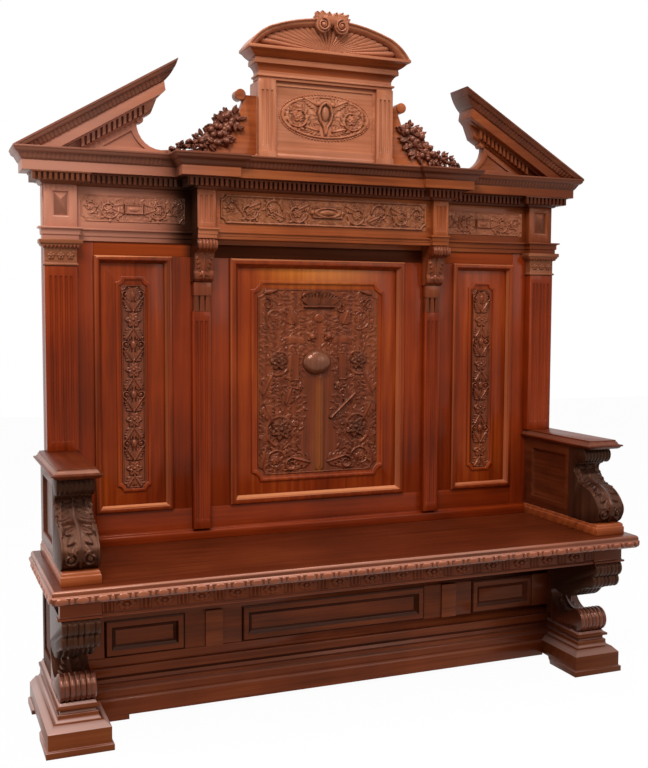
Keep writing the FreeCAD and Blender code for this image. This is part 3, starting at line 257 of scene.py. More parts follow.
@dataclass(frozen=True)
class WoodFinish:
    """Oiled and polished walnut of one tone, with its colours as a screen shows them."""

    name: str
    deep: Shown
    body: Shown
    light: Shown
    roughness: float = 0.36
    shine: float = 0.26
    coat: float = 0.12
    coat_roughness: float = 0.14
    figure: float = 0.35
    dirt_and_shade: float = 0.75
    gleam: Shown = (255, 176, 128)
    # Painted light falloff, and the pale tone it paints toward the lit left
    painted_falloff: float = 0.0
    painted_lit_tone: Shown = (186, 132, 112)
    pale_patch: float = 0.0
    pale_patch_across: Point2 = (0.04, 0.27)
    pale_patch_up: Point2 = (1.25, 1.36)
    pale_patch_colour: Shown = (206, 124, 40)
    # Strengths and colour of the painted highlights on slopes
    painted_highlight: float = 0.3
    painted_side_highlight: float = 0.0
    highlight_tone: Shown = (200, 150, 130)

    def material(self, grain: Grain) -> bpy.types.Material:
        """Material of the finish with its grain along one axis, made once."""
        title = f"{self.name}_{grain.name.lower()}"
        return bpy.data.materials.get(title) or self._build(title, grain)

    def _build(self, title: str, grain: Grain) -> bpy.types.Material:
        """Builds the material's nodes.

        Args:
            title: name of the material.
            grain: direction of the grain.

        Returns:
            The material.
        """
        material = bpy.data.materials.new(title)
        graph = emptied(material)
        place = graph.out("ShaderNodeTexCoord", {}, {}, "Object")
        spot = graph.parts(place)
        across, deep, along = (spot[index] for index in grain.value)
        sway = graph.noise(graph.vector(across, deep, along * 0.22), 3.4)
        rings = ((across + deep * 0.6) * 150.0 + sway * 34.0).sine() * 0.5 + 0.5
        streaks = graph.noise(graph.vector(across * 95.0, deep * 95.0, along * 2.6), 1.0, 3.0)
        pores = graph.noise(graph.vector(across * 700.0, deep * 700.0, along * 14.0), 1.0)
        patches = graph.noise(place, 3.1, 3.0)
        tone = rings * (self.figure * 0.2) + streaks * 0.34 + pores * 0.16 + patches * 0.5
        tone = tone - self.figure * 0.1
        stops = [(0.3, paint(*self.deep)), (0.5, paint(*self.body)), (0.74, paint(*self.light))]
        colour = graph.out("ShaderNodeValToRGB", {"stops": stops}, {0: tone}, "Color")
        # Painted light falloff: paler to the left, darker to the right, a painted shadow beside the breakfront
        if self.painted_falloff:
            colour = self._paint_falloff(graph, spot, colour)
        # Pale patch: flame figure in the panels, a lighter shaft in the centre carving, and on the shaded rail the
        # painted light beyond the breakfront
        if self.pale_patch:
            aside = (spot[0] ** 2.0).root()
            glow = (1.0 - aside.eased(*self.pale_patch_across)) * spot[2].eased(*self.pale_patch_up)
            colour = graph.mixed(glow * (streaks + 0.4) * self.pale_patch, colour, paint(*self.pale_patch_colour))
        # Painted highlights on slopes that face up or to the left
        colour = self._paint_highlights(graph, spot[0], colour)
        # Darkening from the hollow attribute: dirt in the carvings' hollows and painted shade in recesses
        hollow = graph.out("ShaderNodeAttribute", {"attribute_name": "hollow"}, {}, "Fac")
        colour = graph.mixed(hollow * self.dirt_and_shade, colour, paint(*DIRT_AND_SHADE_TONE))
        rough = self.roughness + (streaks - 0.5) * 0.16 + (patches - 0.5) * 0.14 + hollow * 0.25
        edge = graph.out("ShaderNodeBevel", {"samples": 4}, {"Radius": 0.0012})
        normal = graph.out("ShaderNodeBump", {}, {
            "Strength": 0.12, "Distance": 0.0008, "Height": pores * 0.6 + streaks * 0.4, "Normal": edge,
        })
        surface = graph.out("ShaderNodeBsdfPrincipled", {}, {
            "Base Color": colour, "Roughness": rough, "Normal": normal,
            "Specular IOR Level": self.shine, "Specular Tint": paint(*self.gleam),
            "Coat Weight": self.coat, "Coat Roughness": self.coat_roughness, "Coat Tint": paint(*self.gleam),
        })
        graph.node("ShaderNodeOutputMaterial", {}, {"Surface": surface})
        return material

    def _paint_falloff(self, graph: Graph, spot: list[Value], colour: Value) -> Value:
        """Paints light and shade: paler toward the lit left, darker toward the right, and a painted shadow beside
        the breakfront.

        Args:
            graph: the material's graph.
            spot: the three values of the place.
            colour: colour of the wood so far.

        Returns:
            The new colour.
        """
        right, left = spot[0], 0.0 - spot[0]
        colour = graph.mixed(left.eased(0.2, 0.9) * self.painted_falloff, colour, paint(*self.painted_lit_tone))
        colour = graph.mixed(right.eased(0.3, 0.8) * self.painted_falloff, colour, paint(*self.deep))
        # Painted shadow of the breakfront on the left wing, beside its return
        painted_shadow = left.eased(0.4325, 0.434) * (1.0 - left.eased(0.45, 0.55))
        painted_shadow = painted_shadow * spot[1].eased(0.1, 0.125) * (1.0 - spot[1].eased(0.222, 0.235))
        return graph.mixed(painted_shadow * 0.95, colour, paint(*BREAKFRONT_SHADOW_TONE))

    def _paint_highlights(self, graph: Graph, aside: Value, colour: Value) -> Value:
        """Paints highlights: paler on slopes that look upward, less so toward the right, and on some that look to
        the left.

        Args:
            graph: the material's graph.
            aside: place from side to side.
            colour: colour of the wood so far.

        Returns:
            The new colour.
        """
        facing = graph.parts(graph.out("ShaderNodeNewGeometry", {}, {}, "Normal"))
        upward, leftward = facing[2], 0.0 - facing[0]
        # Painted highlight on upward slopes, weaker toward the right
        slope = upward.eased(0.2, 0.6) * (1.0 - upward.eased(0.8, 0.97))
        slope = slope * (1.0 - aside.eased(0.3, 0.8) * 0.65)
        colour = graph.mixed(slope * self.painted_highlight, colour, paint(*self.highlight_tone))
        if self.painted_side_highlight:
            slope = leftward.eased(0.3, 0.6) * (1.0 - leftward.eased(0.86, 0.98))
            colour = graph.mixed(slope * self.painted_side_highlight, colour, paint(*self.highlight_tone))
        return colour


# Each finish's highlight strengths paint highlights into its colour; its falloff strength paints it paler to the
# left and darker to the right
BACK = WoodFinish("back_walnut", (74, 20, 4), (117, 39, 9), (146, 57, 17), figure=0.2, painted_highlight=0.0)
MOULDING = WoodFinish(
    "moulding_walnut", (74, 22, 6), (120, 44, 13), (152, 66, 26), figure=0.2, painted_highlight=0.75,
    painted_side_highlight=0.18, highlight_tone=(208, 136, 92),
)
FIELD = WoodFinish("panel_walnut", (84, 24, 5), (126, 45, 10), (160, 74, 22), pale_patch=0.75)
UPPER = WoodFinish("upper_walnut", (92, 38, 15), (148, 76, 38), (184, 110, 64), painted_falloff=0.85)
# Corner blocks: painted highlight on the pyramids' upper facets; their side and lower facets take painted shade
FACET = WoodFinish(
    "facet_walnut", (92, 38, 15), (148, 76, 38), (184, 110, 64), painted_falloff=0.7,
    painted_highlight=1.0, highlight_tone=(226, 208, 200),
)
CROWN = WoodFinish("crown_walnut", (124, 70, 44), (164, 102, 72), (192, 132, 98))
SEAT = WoodFinish("seat_walnut", (56, 20, 7), (86, 34, 14), (110, 50, 23), roughness=0.4, coat=0.08)
NOSING = WoodFinish(
    "nosing_walnut", (80, 38, 20), (132, 76, 48), (176, 120, 88),
    roughness=0.28, shine=0.5, coat=0.4, painted_highlight=0.45,
)
EDGE = WoodFinish(
    "seat_edge_walnut", (58, 23, 9), (98, 46, 22), (132, 74, 44),
    roughness=0.3, shine=0.4, coat=0.25, painted_highlight=0.45,
)
BASE = WoodFinish(
    "base_walnut", (72, 28, 11), (122, 54, 23), (158, 82, 43), painted_highlight=0.2,
    painted_falloff=0.75, painted_lit_tone=(122, 54, 23),
)
STILE = WoodFinish("stile_walnut", (92, 41, 17), (144, 70, 33), (178, 102, 59), painted_highlight=0.2)
END = WoodFinish(
    "end_walnut", (46, 17, 7), (70, 31, 15), (96, 50, 30),
    roughness=0.5, shine=0.05, coat=0.0, painted_highlight=0.15,
)
ARM = WoodFinish("arm_walnut", (54, 22, 9), (86, 38, 18), (112, 58, 35), painted_highlight=0.15)
FOOT = WoodFinish(
    "foot_walnut", (66, 27, 10), (106, 50, 22), (142, 80, 42),
    roughness=0.32, shine=0.2, coat=0.08, painted_highlight=0.75, highlight_tone=(200, 164, 154),
    painted_falloff=0.6, painted_lit_tone=(106, 50, 22),
)
# Painted shade: the rail under the breakfront, the sunk base panels' sides, the base moulding's undersides; its pale
# patch paints the rail lit again beyond the breakfront
SHADE = WoodFinish(
    "shaded_walnut", (40, 14, 6), (64, 24, 11), (88, 38, 20), shine=0.12, coat=0.0,
    pale_patch=1.0, pale_patch_across=(0.47, 0.435), pale_patch_up=(1.2, 1.3), pale_patch_colour=(136, 54, 20),
)
DENTIL = WoodFinish(
    "dentil_walnut", (60, 23, 10), (98, 45, 23), (130, 70, 42), painted_falloff=0.8, painted_lit_tone=(112, 64, 42),
)
DARK = WoodFinish(
    "dark_walnut", (34, 15, 9), (60, 30, 18), (92, 54, 36),
    roughness=0.34, shine=0.25, coat=0.04, painted_highlight=0.12,
)
SCROLL = WoodFinish(
    "scroll_walnut", (38, 16, 9), (80, 38, 23), (124, 72, 50),
    roughness=0.28, shine=0.5, coat=0.3, painted_highlight=0.2, dirt_and_shade=0.9,
)
CARVED = WoodFinish(
    "carved_walnut", (62, 23, 9), (108, 47, 21), (146, 80, 44),
    roughness=0.34, shine=0.4, coat=0.15, dirt_and_shade=0.95, painted_highlight=0.12, painted_falloff=0.1,
)
CAPITAL = WoodFinish("capital_walnut", (78, 36, 19), (122, 70, 44), (156, 102, 72), dirt_and_shade=0.9)
PANEL_CARVING = WoodFinish(
    "panel_carving_walnut", (58, 21, 8), (102, 43, 19), (146, 78, 42),
    roughness=0.34, shine=0.4, coat=0.15, dirt_and_shade=1.0, painted_highlight=0.1,
    pale_patch=0.2, pale_patch_across=(0.002, 0.022), pale_patch_up=(0.995, 0.95),
)
BOSS = WoodFinish(
    "boss_walnut", (66, 36, 20), (96, 58, 38), (120, 80, 56),
    roughness=0.26, shine=0.5, coat=0.35, figure=0.0, painted_highlight=0.0,
)
FRIEZE = WoodFinish(
    "frieze_walnut", (92, 44, 24), (140, 82, 50), (172, 116, 80),
    shine=0.4, coat=0.15, dirt_and_shade=0.9,
)
WING = WoodFinish(
    "wing_frieze_walnut", (112, 58, 36), (164, 100, 68), (192, 132, 98),
    shine=0.4, coat=0.15, dirt_and_shade=0.85, painted_falloff=0.5, painted_highlight=0.15,
)
CYMA = WoodFinish(
    "cyma_walnut", (52, 20, 9), (88, 40, 22), (120, 64, 40),
    roughness=0.38, shine=0.4, coat=0.1, painted_falloff=0.25, painted_highlight=0.15,
)
PLAIN = WoodFinish(
    "unpolished_wood", (92, 62, 40), (122, 88, 58), (150, 114, 80), roughness=0.75, coat=0.0,
)


# Meshes

def traced(steps: Sequence[Step], pieces: int = 12) -> np.ndarray:
    """Points along an outline of straight lines and three-point arcs.

    Args:
        steps: points, and pairs of an arc's middle and end.
        pieces: number of chords that an arc gets.

    Returns:
        Points in rows of two.
    """
    points = [np.array(steps[0], float)]
    for step in steps[1:]:
        if not isinstance(step[0], tuple):
            points.append(np.array(step, float))
            continue
        a, b, c = points[-1], np.array(step[0], float), np.array(step[1], float)
        spread = np.array([b - a, c - a])
        centre = a + np.linalg.solve(spread, (spread ** 2).sum(axis=1) / 2)
        first, middle, last = (math.atan2(*(p - centre)[::-1]) for p in (a, b, c))
        turn = (last - first) % (2 * math.pi)
        if (middle - first) % (2 * math.pi) > turn:
            turn -= 2 * math.pi
        radius = np.linalg.norm(a - centre)
        for index in range(1, pieces + 1):
            angle = first + turn * index / pieces
            points.append(centre + radius * np.array([math.cos(angle), math.sin(angle)]))
    return np.array(points)


def scaled(steps: Sequence[Step], front: Point2, size: Point2) -> list[Step]:
    """Steps of a side outline that is given in shares of a box.

    Args:
        steps: shares back from the box's front and down from its top, as traced() takes them.
        front: y of the front and z of the top.
        size: depth and height of the box.

    Returns:
        The same steps as places (y, z).
    """
    def at(share: Point2) -> Point2:
        """Place of a pair of shares."""
        return front[0] + size[0] * share[0], front[1] - size[1] * share[1]
    return [tuple(map(at, step)) if isinstance(step[0], tuple) else at(step) for step in steps]


def evenly(points: np.ndarray, pitch: float) -> np.ndarray:
    """Spaces the points of a line anew.

    Args:
        points: the line's points in rows.
        pitch: about how far apart they are to be.

    Returns:
        Points of the same line.
    """
    lengths = np.concatenate([[0.0], np.cumsum(np.linalg.norm(np.diff(points, axis=0), axis=1))])
    count = max(2, int(lengths[-1] / pitch) + 1)
    stations = np.linspace(0.0, lengths[-1], count)
    return np.stack([np.interp(stations, lengths, points[:, k]) for k in range(points.shape[1])], axis=1)


class Body:
    """Vertices in millimetres and faces of a piece that is being built."""

    def __init__(self) -> None:
        """Starts empty."""
        self.vertices: list[np.ndarray] = []
        self.hollows: list[np.ndarray] = []
        self.faces: list[list[int]] = []
        self.count = 0

    def points(self, points: np.ndarray, hollow: np.ndarray | float = 0.0) -> int:
        """Adds points and gives the number of the first.

        Args:
            points: rows of x, y, z.
            hollow: share of darkening at each of them, dirt and painted shade.

        Returns:
            Number of the first point.
        """
        first = self.count
        points = np.asarray(points, float).reshape(-1, 3)
        self.vertices.append(points)
        self.hollows.append(np.broadcast_to(np.asarray(hollow, float), (len(points),)))
        self.count += len(points)
        return first

    def grid(
        self, points: np.ndarray, hollow: np.ndarray | float = 0.0,
        wrap_rows: bool = False, wrap_columns: bool = False,
    ) -> int:
        """Adds a net of points with a quad in each mesh.

        Args:
            points: rows by columns by three.
            hollow: share of darkening, dirt and painted shade, for each point or one for all.
            wrap_rows: whether the last row joins the first.
            wrap_columns: whether the last column joins the first.

        Returns:
            Number of the first point.
        """
        rows, columns = points.shape[:2]
        level = hollow if np.isscalar(hollow) else np.asarray(hollow).reshape(-1)
        first = self.points(points, level)
        for row in range(rows if wrap_rows else rows - 1):
            low = first + row * columns
            high = first + ((row + 1) % rows) * columns
            for column in range(columns if wrap_columns else columns - 1):
                beside = (column + 1) % columns
                self.faces.append([low + column, low + beside, high + beside, high + column])
        return first

    def face(self, corners: Sequence[int]) -> None:
        """Adds one face."""
        self.faces.append(list(corners))

    def ball(self, centre: Point3, radii: Point3, rings: int, sides: int) -> None:
        """Adds a closed egg.

        Args:
            centre: its middle.
            radii: its three half sizes.
            rings: bands from pole to pole, along Z.
            sides: faces round it.
        """
        tilt = np.linspace(0.0, math.pi, rings + 1)[1:-1]
        turn = np.linspace(0.0, 2 * math.pi, sides, endpoint=False)
        net = np.stack([
            np.outer(np.sin(tilt), np.cos(turn)) * radii[0] + centre[0],
            np.outer(np.sin(tilt), np.sin(turn)) * radii[1] + centre[1],
            np.outer(np.cos(tilt), np.ones(sides)) * radii[2] + centre[2],
        ], axis=2)
        first = self.grid(net, wrap_columns=True)
        top = self.points([[centre[0], centre[1], centre[2] + radii[2]]])
        low = self.points([[centre[0], centre[1], centre[2] - radii[2]]])
        last = first + (rings - 2) * sides
        for side in range(sides):
            beside = (side + 1) % sides
            self.face([top, first + side, first + beside])
            self.face([low, last + beside, last + side])

    def build(self, name: str, finish: WoodFinish, grain: Grain, smooth: float = 50.0) -> Piece:
        """Makes the piece: closed shells with their faces outward.

        Args:
            name: the piece's name.
            finish: its wood.
            grain: direction of its grain.
            smooth: angle in degrees up to which edges look round.

        Returns:
            The finished object.
        """
        mesh = bpy.data.meshes.new(name)
        places = np.concatenate(self.vertices) * MM
        mesh.from_pydata(places.tolist(), [], self.faces)
        level = mesh.attributes.new("hollow", "FLOAT", "POINT")
        level.data.foreach_set("value", np.concatenate(self.hollows).astype(np.float32))
        work = bmesh.new()
        work.from_mesh(mesh)
        bmesh.ops.recalc_face_normals(work, faces=work.faces)
        work.to_mesh(mesh)
        work.free()
        return placed(name, mesh, [finish.material(grain)], smooth)


def placed(name: str, mesh: bpy.types.Mesh, materials: Sequence[bpy.types.Material], smooth: float) -> Piece:
    """Makes an object of a mesh, at the origin.

    Args:
        name: the piece's name.
        mesh: its mesh.
        materials: its materials.
        smooth: angle in degrees up to which edges look round.

    Returns:
        The object.
    """
    for material in materials:
        mesh.materials.append(material)
    mesh.shade_smooth()
    mesh.set_sharp_from_angle(angle=math.radians(smooth))
    piece = bpy.data.objects.new(name, mesh)
    bpy.context.scene.collection.objects.link(piece)
    return piece


def settle(piece: Piece) -> None:
    """Turns what a piece's modifiers make of it into its plain mesh.

    Args:
        piece: object with live modifiers.
    """
    bpy.context.view_layer.update()
    ready = piece.evaluated_get(bpy.context.evaluated_depsgraph_get())
    mesh = bpy.data.meshes.new_from_object(ready)
    piece.modifiers.clear()
    piece.data = mesh


def mounted(piece: Piece, *nodes: str, slot: str = "carved_walnut") -> None:
    """Puts a piece on the bench's one body and logs it.

    Args:
        piece: the finished object.
        nodes: CAD nodes that it stands for.
        slot: not used.
    """
    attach(piece, "root")
    if nodes:
        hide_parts(*nodes)
    LOG.info("%s: %d faces", piece.name, len(piece.data.polygons))


# Relief carving

def heading(angle: float) -> Point2:
    """Cosine and sine of an angle in degrees."""
    return math.cos(math.radians(angle)), math.sin(math.radians(angle))


def rounded(off: np.ndarray) -> np.ndarray:
    """Height of a round back, from 1 at its middle to 0 at distance 1 and beyond."""
    return np.sqrt(np.clip(1.0 - off ** 2, 0.0, 1.0))


def spiral(x: float, z: float, radius: float, start: float, hand: int, turns: float = 1.15) -> np.ndarray:
    """Points of a scroll that winds inward.

    Args:
        x: centre of the scroll, across.
        z: centre of the scroll, upward.
        radius: distance at which it starts.
        start: angle at which it starts, in degrees.
        hand: 1 for a scroll that winds anticlockwise, -1 for clockwise.
        turns: how far it winds.

    Returns:
        Points in rows of two.
    """
    share = np.linspace(0.0, 1.0, 40)
    angle = math.radians(start) + hand * share * turns * 2 * math.pi
    reach = radius * (1.0 - 0.66 * share)
    return np.stack([x + reach * np.cos(angle), z + reach * np.sin(angle)], axis=1)


class Relief:
    """Heights over a net of points, raised motif by motif as a carver lays out a field."""

    def __init__(self, x: np.ndarray, z: np.ndarray) -> None:
        """Starts flat.

        Args:
            x: net of places across, in millimetres.
            z: net of places upward, in millimetres.
        """
        self.shape = x.shape
        self.x = x.ravel()
        self.z = z.ravel()
        self.height = np.zeros(self.x.size)
        self.darkening = np.zeros(self.x.size)

    def _near(self, x: float, z: float, reach: float) -> tuple[np.ndarray, np.ndarray, np.ndarray]:
        """Numbers of the points within reach of a place, and how far they lie from it."""
        spots = np.flatnonzero((np.abs(self.x - x) < reach) & (np.abs(self.z - z) < reach))
        return spots, self.x[spots] - x, self.z[spots] - z

    def _raise(self, spots: np.ndarray, height: np.ndarray) -> None:
        """Lifts points to a height, where they are lower."""
        self.height[spots] = np.maximum(self.height[spots], height)

    def dome(self, x: float, z: float, across: float, tall: float, height: float) -> None:
        """Rounded boss with two half sizes."""
        spots, dx, dz = self._near(x, z, max(across, tall))
        self._raise(spots, height * np.sqrt(np.clip(1.0 - (dx / across) ** 2 - (dz / tall) ** 2, 0.0, 1.0)))

    def ring(self, x: float, z: float, across: float, tall: float, width: float, height: float) -> None:
        """Rounded ring.

        Args:
            x: middle across.
            z: middle upward.
            across: half width to the middle of its band.
            tall: half height to the middle of its band.
            width: width of the band.
            height: height of its crown.
        """
        spots, dx, dz = self._near(x, z, max(across, tall) + width)
        reach = np.sqrt((dx / across) ** 2 + (dz / tall) ** 2) + 1e-9
        off = np.abs(reach - 1.0) * min(across, tall) / (width / 2)
        self._raise(spots, height * rounded(off))

    def petal(
        self, x: float, z: float, angle: float, length: float, width: float, height: float,
        vein: float = 0.35,
    ) -> None:
        """Leaf that starts at a place, with a groove along its middle.

        Args:
            x: place across.
            z: place upward.
            angle: direction in degrees, anticlockwise from the right.
            length: length of the leaf.
            width: greatest width.
            height: height of its crown.
            vein: depth of the groove, as a share of the height.
        """
        spots, dx, dz = self._near(x, z, length + width)
        cos, sin = heading(angle)
        along = (dx * cos + dz * sin) / length
        inside = np.clip(along, 0.0, 1.0)
        half = width / 2 * np.sin(math.pi * inside ** 0.8) ** 0.75 + 1e-6
        side = (dz * cos - dx * sin) / half
        crown = rounded(side) * (0.55 + 0.45 * inside)
        crown = crown * (1.0 - vein * np.exp(-(side / 0.2) ** 2))
        self._raise(spots, np.where((along > 0.0) & (along < 1.0), height * crown, 0.0))

    def ridge(self, points: Sequence[Point2], width: float, height: float, taper: float = 0.4) -> None:
        """Rounded stem that thins toward its end.

        Args:
            points: its line, in rows of (x, z).
            width: width at its start.
            height: height at its start.
            taper: share of both that it loses on its way.
        """
        points = np.asarray(points)
        count = len(points) - 1
        for index in range(count):
            start, end = points[index], points[index + 1]
            share = 1.0 - taper * index / max(1, count)
            middle = (start + end) / 2
            span = float(np.linalg.norm(end - start))
            spots, dx, dz = self._near(middle[0], middle[1], span / 2 + width)
            ux, uz = (end - start) / max(span, 1e-9)
            along = np.clip(dx * ux + dz * uz, -span / 2, span / 2)
            off = np.hypot(dx - along * ux, dz - along * uz) / (width / 2 * share)
            self._raise(spots, height * share * rounded(off))

    def strap(self, start: Point2, end: Point2, width: float, height: float) -> None:
        """Flat band with raised edges.

        Args:
            start: one end.
            end: the other end.
            width: its width.
            height: height of its edges.
        """
        a, b = np.array(start, float), np.array(end, float)
        middle, span = (a + b) / 2, float(np.linalg.norm(b - a))
        spots, dx, dz = self._near(middle[0], middle[1], span / 2 + width)
        ux, uz = (b - a) / span
        along, off = np.abs(dx * ux + dz * uz), np.abs(dz * ux - dx * uz)
        edge, sunk = (
            np.clip((width / 2 - rim - off) / 1.2, 0.0, 1.0)
            * np.clip((span / 2 - rim - along) / 1.2, 0.0, 1.0)
            for rim in (0.0, 3.4)
        )
        self._raise(spots, height * (edge - 0.4 * sunk))

    def rosette(self, x: float, z: float, radius: float, height: float, petals: int = 6) -> None:
        """Flower with two rows of petals round a button.

        Args:
            x: middle across.
            z: middle upward.
            radius: reach of the outer petals.
            height: height of the inner petals.
            petals: how many each row has.
        """
        for index in range(petals):
            turn = 360.0 * index / petals
            self.petal(x, z, turn, radius, radius * 0.86, height * 0.8, 0.3)
            self.petal(x, z, turn + 180.0 / petals, radius * 0.66, radius * 0.6, height, 0.25)
        self.dome(x, z, radius * 0.24, radius * 0.24, height * 1.15)

    def spray(
        self, x: float, z: float, angle: float, length: float, width: float, height: float, lobes: int = 4,
    ) -> None:
        """Acanthus leaf: a rib with lobes on both sides.

        Args:
            x: its foot, across.
            z: its foot, upward.
            angle: direction in degrees.
            length: length of the rib.
            width: width over the lobes.
            height: height of the middle lobe.
            lobes: how many lobes a side has.
        """
        cos, sin = heading(angle)
        for index in range(lobes):
            share = 0.08 + 0.72 * index / lobes
            px, pz = x + cos * length * share, z + sin * length * share
            size = width * (0.78 - 0.4 * share)
            for side in (-1, 1):
                self.petal(px, pz, angle + side * (56.0 - 26.0 * share), size, size * 0.5, height * 0.85)
        self.petal(x, z, angle, length, width * 0.42, height, 0.0)
        tip = x + cos * length * 0.9, z + sin * length * 0.9
        self.ridge([(x, z), tip], width * 0.1, height * 1.15)

    def scroll(
        self, x: float, z: float, radius: float, start: float, hand: int, height: float,
        leaves: int = 7, petals: int = 6,
    ) -> None:
        """Leafy scroll that winds round a flower, with leaves along its outside.

        Args:
            x: centre across.
            z: centre upward.
            radius: distance at which it starts.
            start: angle at which it starts, in degrees.
            hand: 1 for anticlockwise, -1 for clockwise.
            height: height of the flower.
            leaves: how many leaves it has.
            petals: how many petals a row of the flower has.
        """
        line = spiral(x, z, radius, start, hand)
        self.ridge(line, radius * 0.2, height * 0.85)
        for index in range(leaves):
            spot = int(3 + index * 26 / leaves)
            px, pz = line[spot]
            out = math.degrees(math.atan2(pz - z, px - x))
            size = radius * (0.62 - 0.04 * index)
            self.petal(px, pz, out + hand * 48.0, size, size * 0.5, height * 0.8)
            self.petal(px, pz, out + 180.0 - hand * 40.0, size * 0.5, size * 0.3, height * 0.7)
        self.rosette(x, z, radius * 0.46, height, petals)

    def tangle(
        self, low: Point2, high: Point2, pitch: float, height: float, bare: Point2 = (0.0, 0.0),
    ) -> None:
        """Small leaves that fill the ground on both sides of the middle line.

        Args:
            low: lower inner corner of the right half.
            high: its upper outer corner.
            pitch: mean distance between leaves.
            height: height of the tallest.
            bare: half width and top of the plain ground at the middle.
        """
        chance = np.random.default_rng(SEED)
        for x in np.arange(low[0], high[0], pitch):
            for z in np.arange(low[1], high[1], pitch):
                slip = chance.uniform(-0.5, 0.5, 2) * pitch
                angle = 90.0 + 70.0 * math.sin(x * 0.035 + z * 0.021) + chance.uniform(-60.0, 60.0)
                size, tall = pitch * chance.uniform(1.1, 1.9), height * chance.uniform(0.55, 1.0)
                if x < bare[0] and z < bare[1]:
                    continue
                for side in (-1, 1):
                    lean = 90.0 + side * (angle - 90.0)
                    self.petal(side * (x + slip[0]), z + slip[1], lean, size, size * 0.42, tall, 0.5)

    def border(self, low: Point2, high: Point2, width: float, height: float, clip: float) -> None:
        """Raised frame just inside a rectangle, with its corners scooped and nothing outside it.

        Args:
            low: lower left corner.
            high: upper right corner.
            width: width of the frame.
            height: height of its crown.
            clip: radius of the scoops.
        """
        x_off = np.minimum(self.x - low[0], high[0] - self.x)
        z_off = np.minimum(self.z - low[1], high[1] - self.z)
        inset = np.minimum(np.minimum(x_off, z_off), np.hypot(x_off, z_off) - clip)
        crown = height * rounded(np.abs(inset - width / 2) / (width / 2))
        self.height = np.where(inset > 0.0, np.maximum(self.height, crown), 0.0)

    def darken(self, share: np.ndarray) -> None:
        """Darkens the points by a share, where they are lighter; carvings use it for dark parts and for painted
        shade.
        """
        self.darkening = np.maximum(self.darkening, share)

    def chiselled(self) -> None:
        """Light unevenness that a hand tool leaves on what is raised."""
        across = np.sin(self.x * 0.83 + 1.7 * np.sin(self.z * 0.31))
        upward = np.sin(self.z * 0.71 + 1.3 * np.sin(self.x * 0.27))
        self.height = self.height + TOOL_MARKS * (across * upward) * (self.height > 0.2)

    def result(self) -> tuple[np.ndarray, np.ndarray]:
        """Finishes the carving.

        Returns:
            Nets of the heights and of the share of darkening: dirt in the hollows, darker low ground beside raised
            work, and the marked darkening, painted shade included.
        """
        height = self.height.reshape(self.shape)
        blur = height.copy()
        for _ in range(5):
            padded = np.pad(blur, 1, mode="edge")
            blur = (padded[:-2, 1:-1] + padded[2:, 1:-1] + padded[1:-1, :-2] + padded[1:-1, 2:] + blur) / 5.0
        hollow = np.clip((blur - height) / 2.2, 0.0, 1.0)
        low = np.clip(1.0 - height / 3.0, 0.0, 1.0) * np.clip(blur / 1.5, 0.0, 1.0) * 0.55
        return height, np.clip(np.maximum(np.maximum(hollow, low), self.darkening.reshape(self.shape)), 0.0, 1.0)


def rim(first: int, rows: int, columns: int) -> list[int]:
    """Walks round the edge of a net.

    Args:
        first: number of the net's first point.
        rows: how many rows it has.
        columns: how many points a row has.

    Returns:
        Numbers of the points on the edge, in order.
    """
    edge = [first + column for column in range(columns)]
    edge += [first + row * columns + columns - 1 for row in range(1, rows)]
    edge += [first + (rows - 1) * columns + column for column in range(columns - 2, -1, -1)]
    return edge + [first + row * columns for row in range(rows - 2, 0, -1)]


def close_behind(body: Body, edge: Sequence[int], back: float) -> None:
    """Closes a net by a wall from its edge to a flat back.

    Args:
        body: piece that the net is in.
        edge: numbers of the points round the net's edge.
        back: y of the flat back.
    """
    places = np.concatenate(body.vertices)[list(edge)]
    places[:, 1] = back
    first = body.points(places, 0.5)
    count = len(edge)
    for index in range(count):
        beside = (index + 1) % count
        body.face([edge[index], edge[beside], first + beside, first + index])
    body.face([first + index for index in range(count)])


@dataclass(frozen=True)
class CarvedBoard:
    """A carved field with sides and a flat back.

    Args:
        name: the piece's name.
        face: y of the ground, from which the carving rises toward -Y.
        pitch: distance between points.
        carve: draws the motifs.
        finish: the wood.
        back: how far the board reaches behind its ground.
    """

    name: str
    face: float
    pitch: float
    carve: Callable[[Relief], None]
    finish: WoodFinish
    back: float = 3.0

    def oblong(self, low: Point2, high: Point2) -> None:
        """Mounts the board as a rectangle.

        Args:
            low: lower left corner in (x, z).
            high: upper right corner.
        """
        columns = int((high[0] - low[0]) / self.pitch) + 1
        rows = int((high[1] - low[1]) / self.pitch) + 1
        x, z = np.meshgrid(np.linspace(low[0], high[0], columns), np.linspace(low[1], high[1], rows))
        body = Body()
        first = body.grid(*self._carved(x, z))
        close_behind(body, rim(first, rows, columns), self.face + self.back)
        mounted(body.build(self.name, self.finish, Grain.Z))

    def oval(self, centre: Point2, radii: Point2) -> None:
        """Mounts the board as an oval.

        Args:
            centre: its middle in (x, z).
            radii: its two half sizes.
        """
        rings = int(min(radii) / self.pitch)
        sides = int(2 * math.pi * max(radii) / self.pitch)
        share = np.linspace(0.02, 1.0, rings)
        turn = np.linspace(0.0, 2 * math.pi, sides, endpoint=False)
        x = centre[0] + radii[0] * np.outer(share, np.cos(turn))
        z = centre[1] + radii[1] * np.outer(share, np.sin(turn))
        body = Body()
        first = body.grid(*self._carved(x, z), wrap_columns=True)
        body.face([first + side for side in range(sides)])
        edge = [first + (rings - 1) * sides + side for side in range(sides)]
        close_behind(body, edge, self.face + self.back)
        mounted(body.build(self.name, self.finish, Grain.Z))

    def _carved(self, x: np.ndarray, z: np.ndarray) -> tuple[np.ndarray, np.ndarray]:
        """Carves the field.

        Args:
            x: net of places across.
            z: net of places upward.

        Returns:
            Net of the carved points, and of the share of darkening at them, dirt and painted shade.
        """
        relief = Relief(x, z)
        self.carve(relief)
        relief.chiselled()
        height, hollow = relief.result()
        return np.stack([x, self.face - height, z], axis=2), hollow


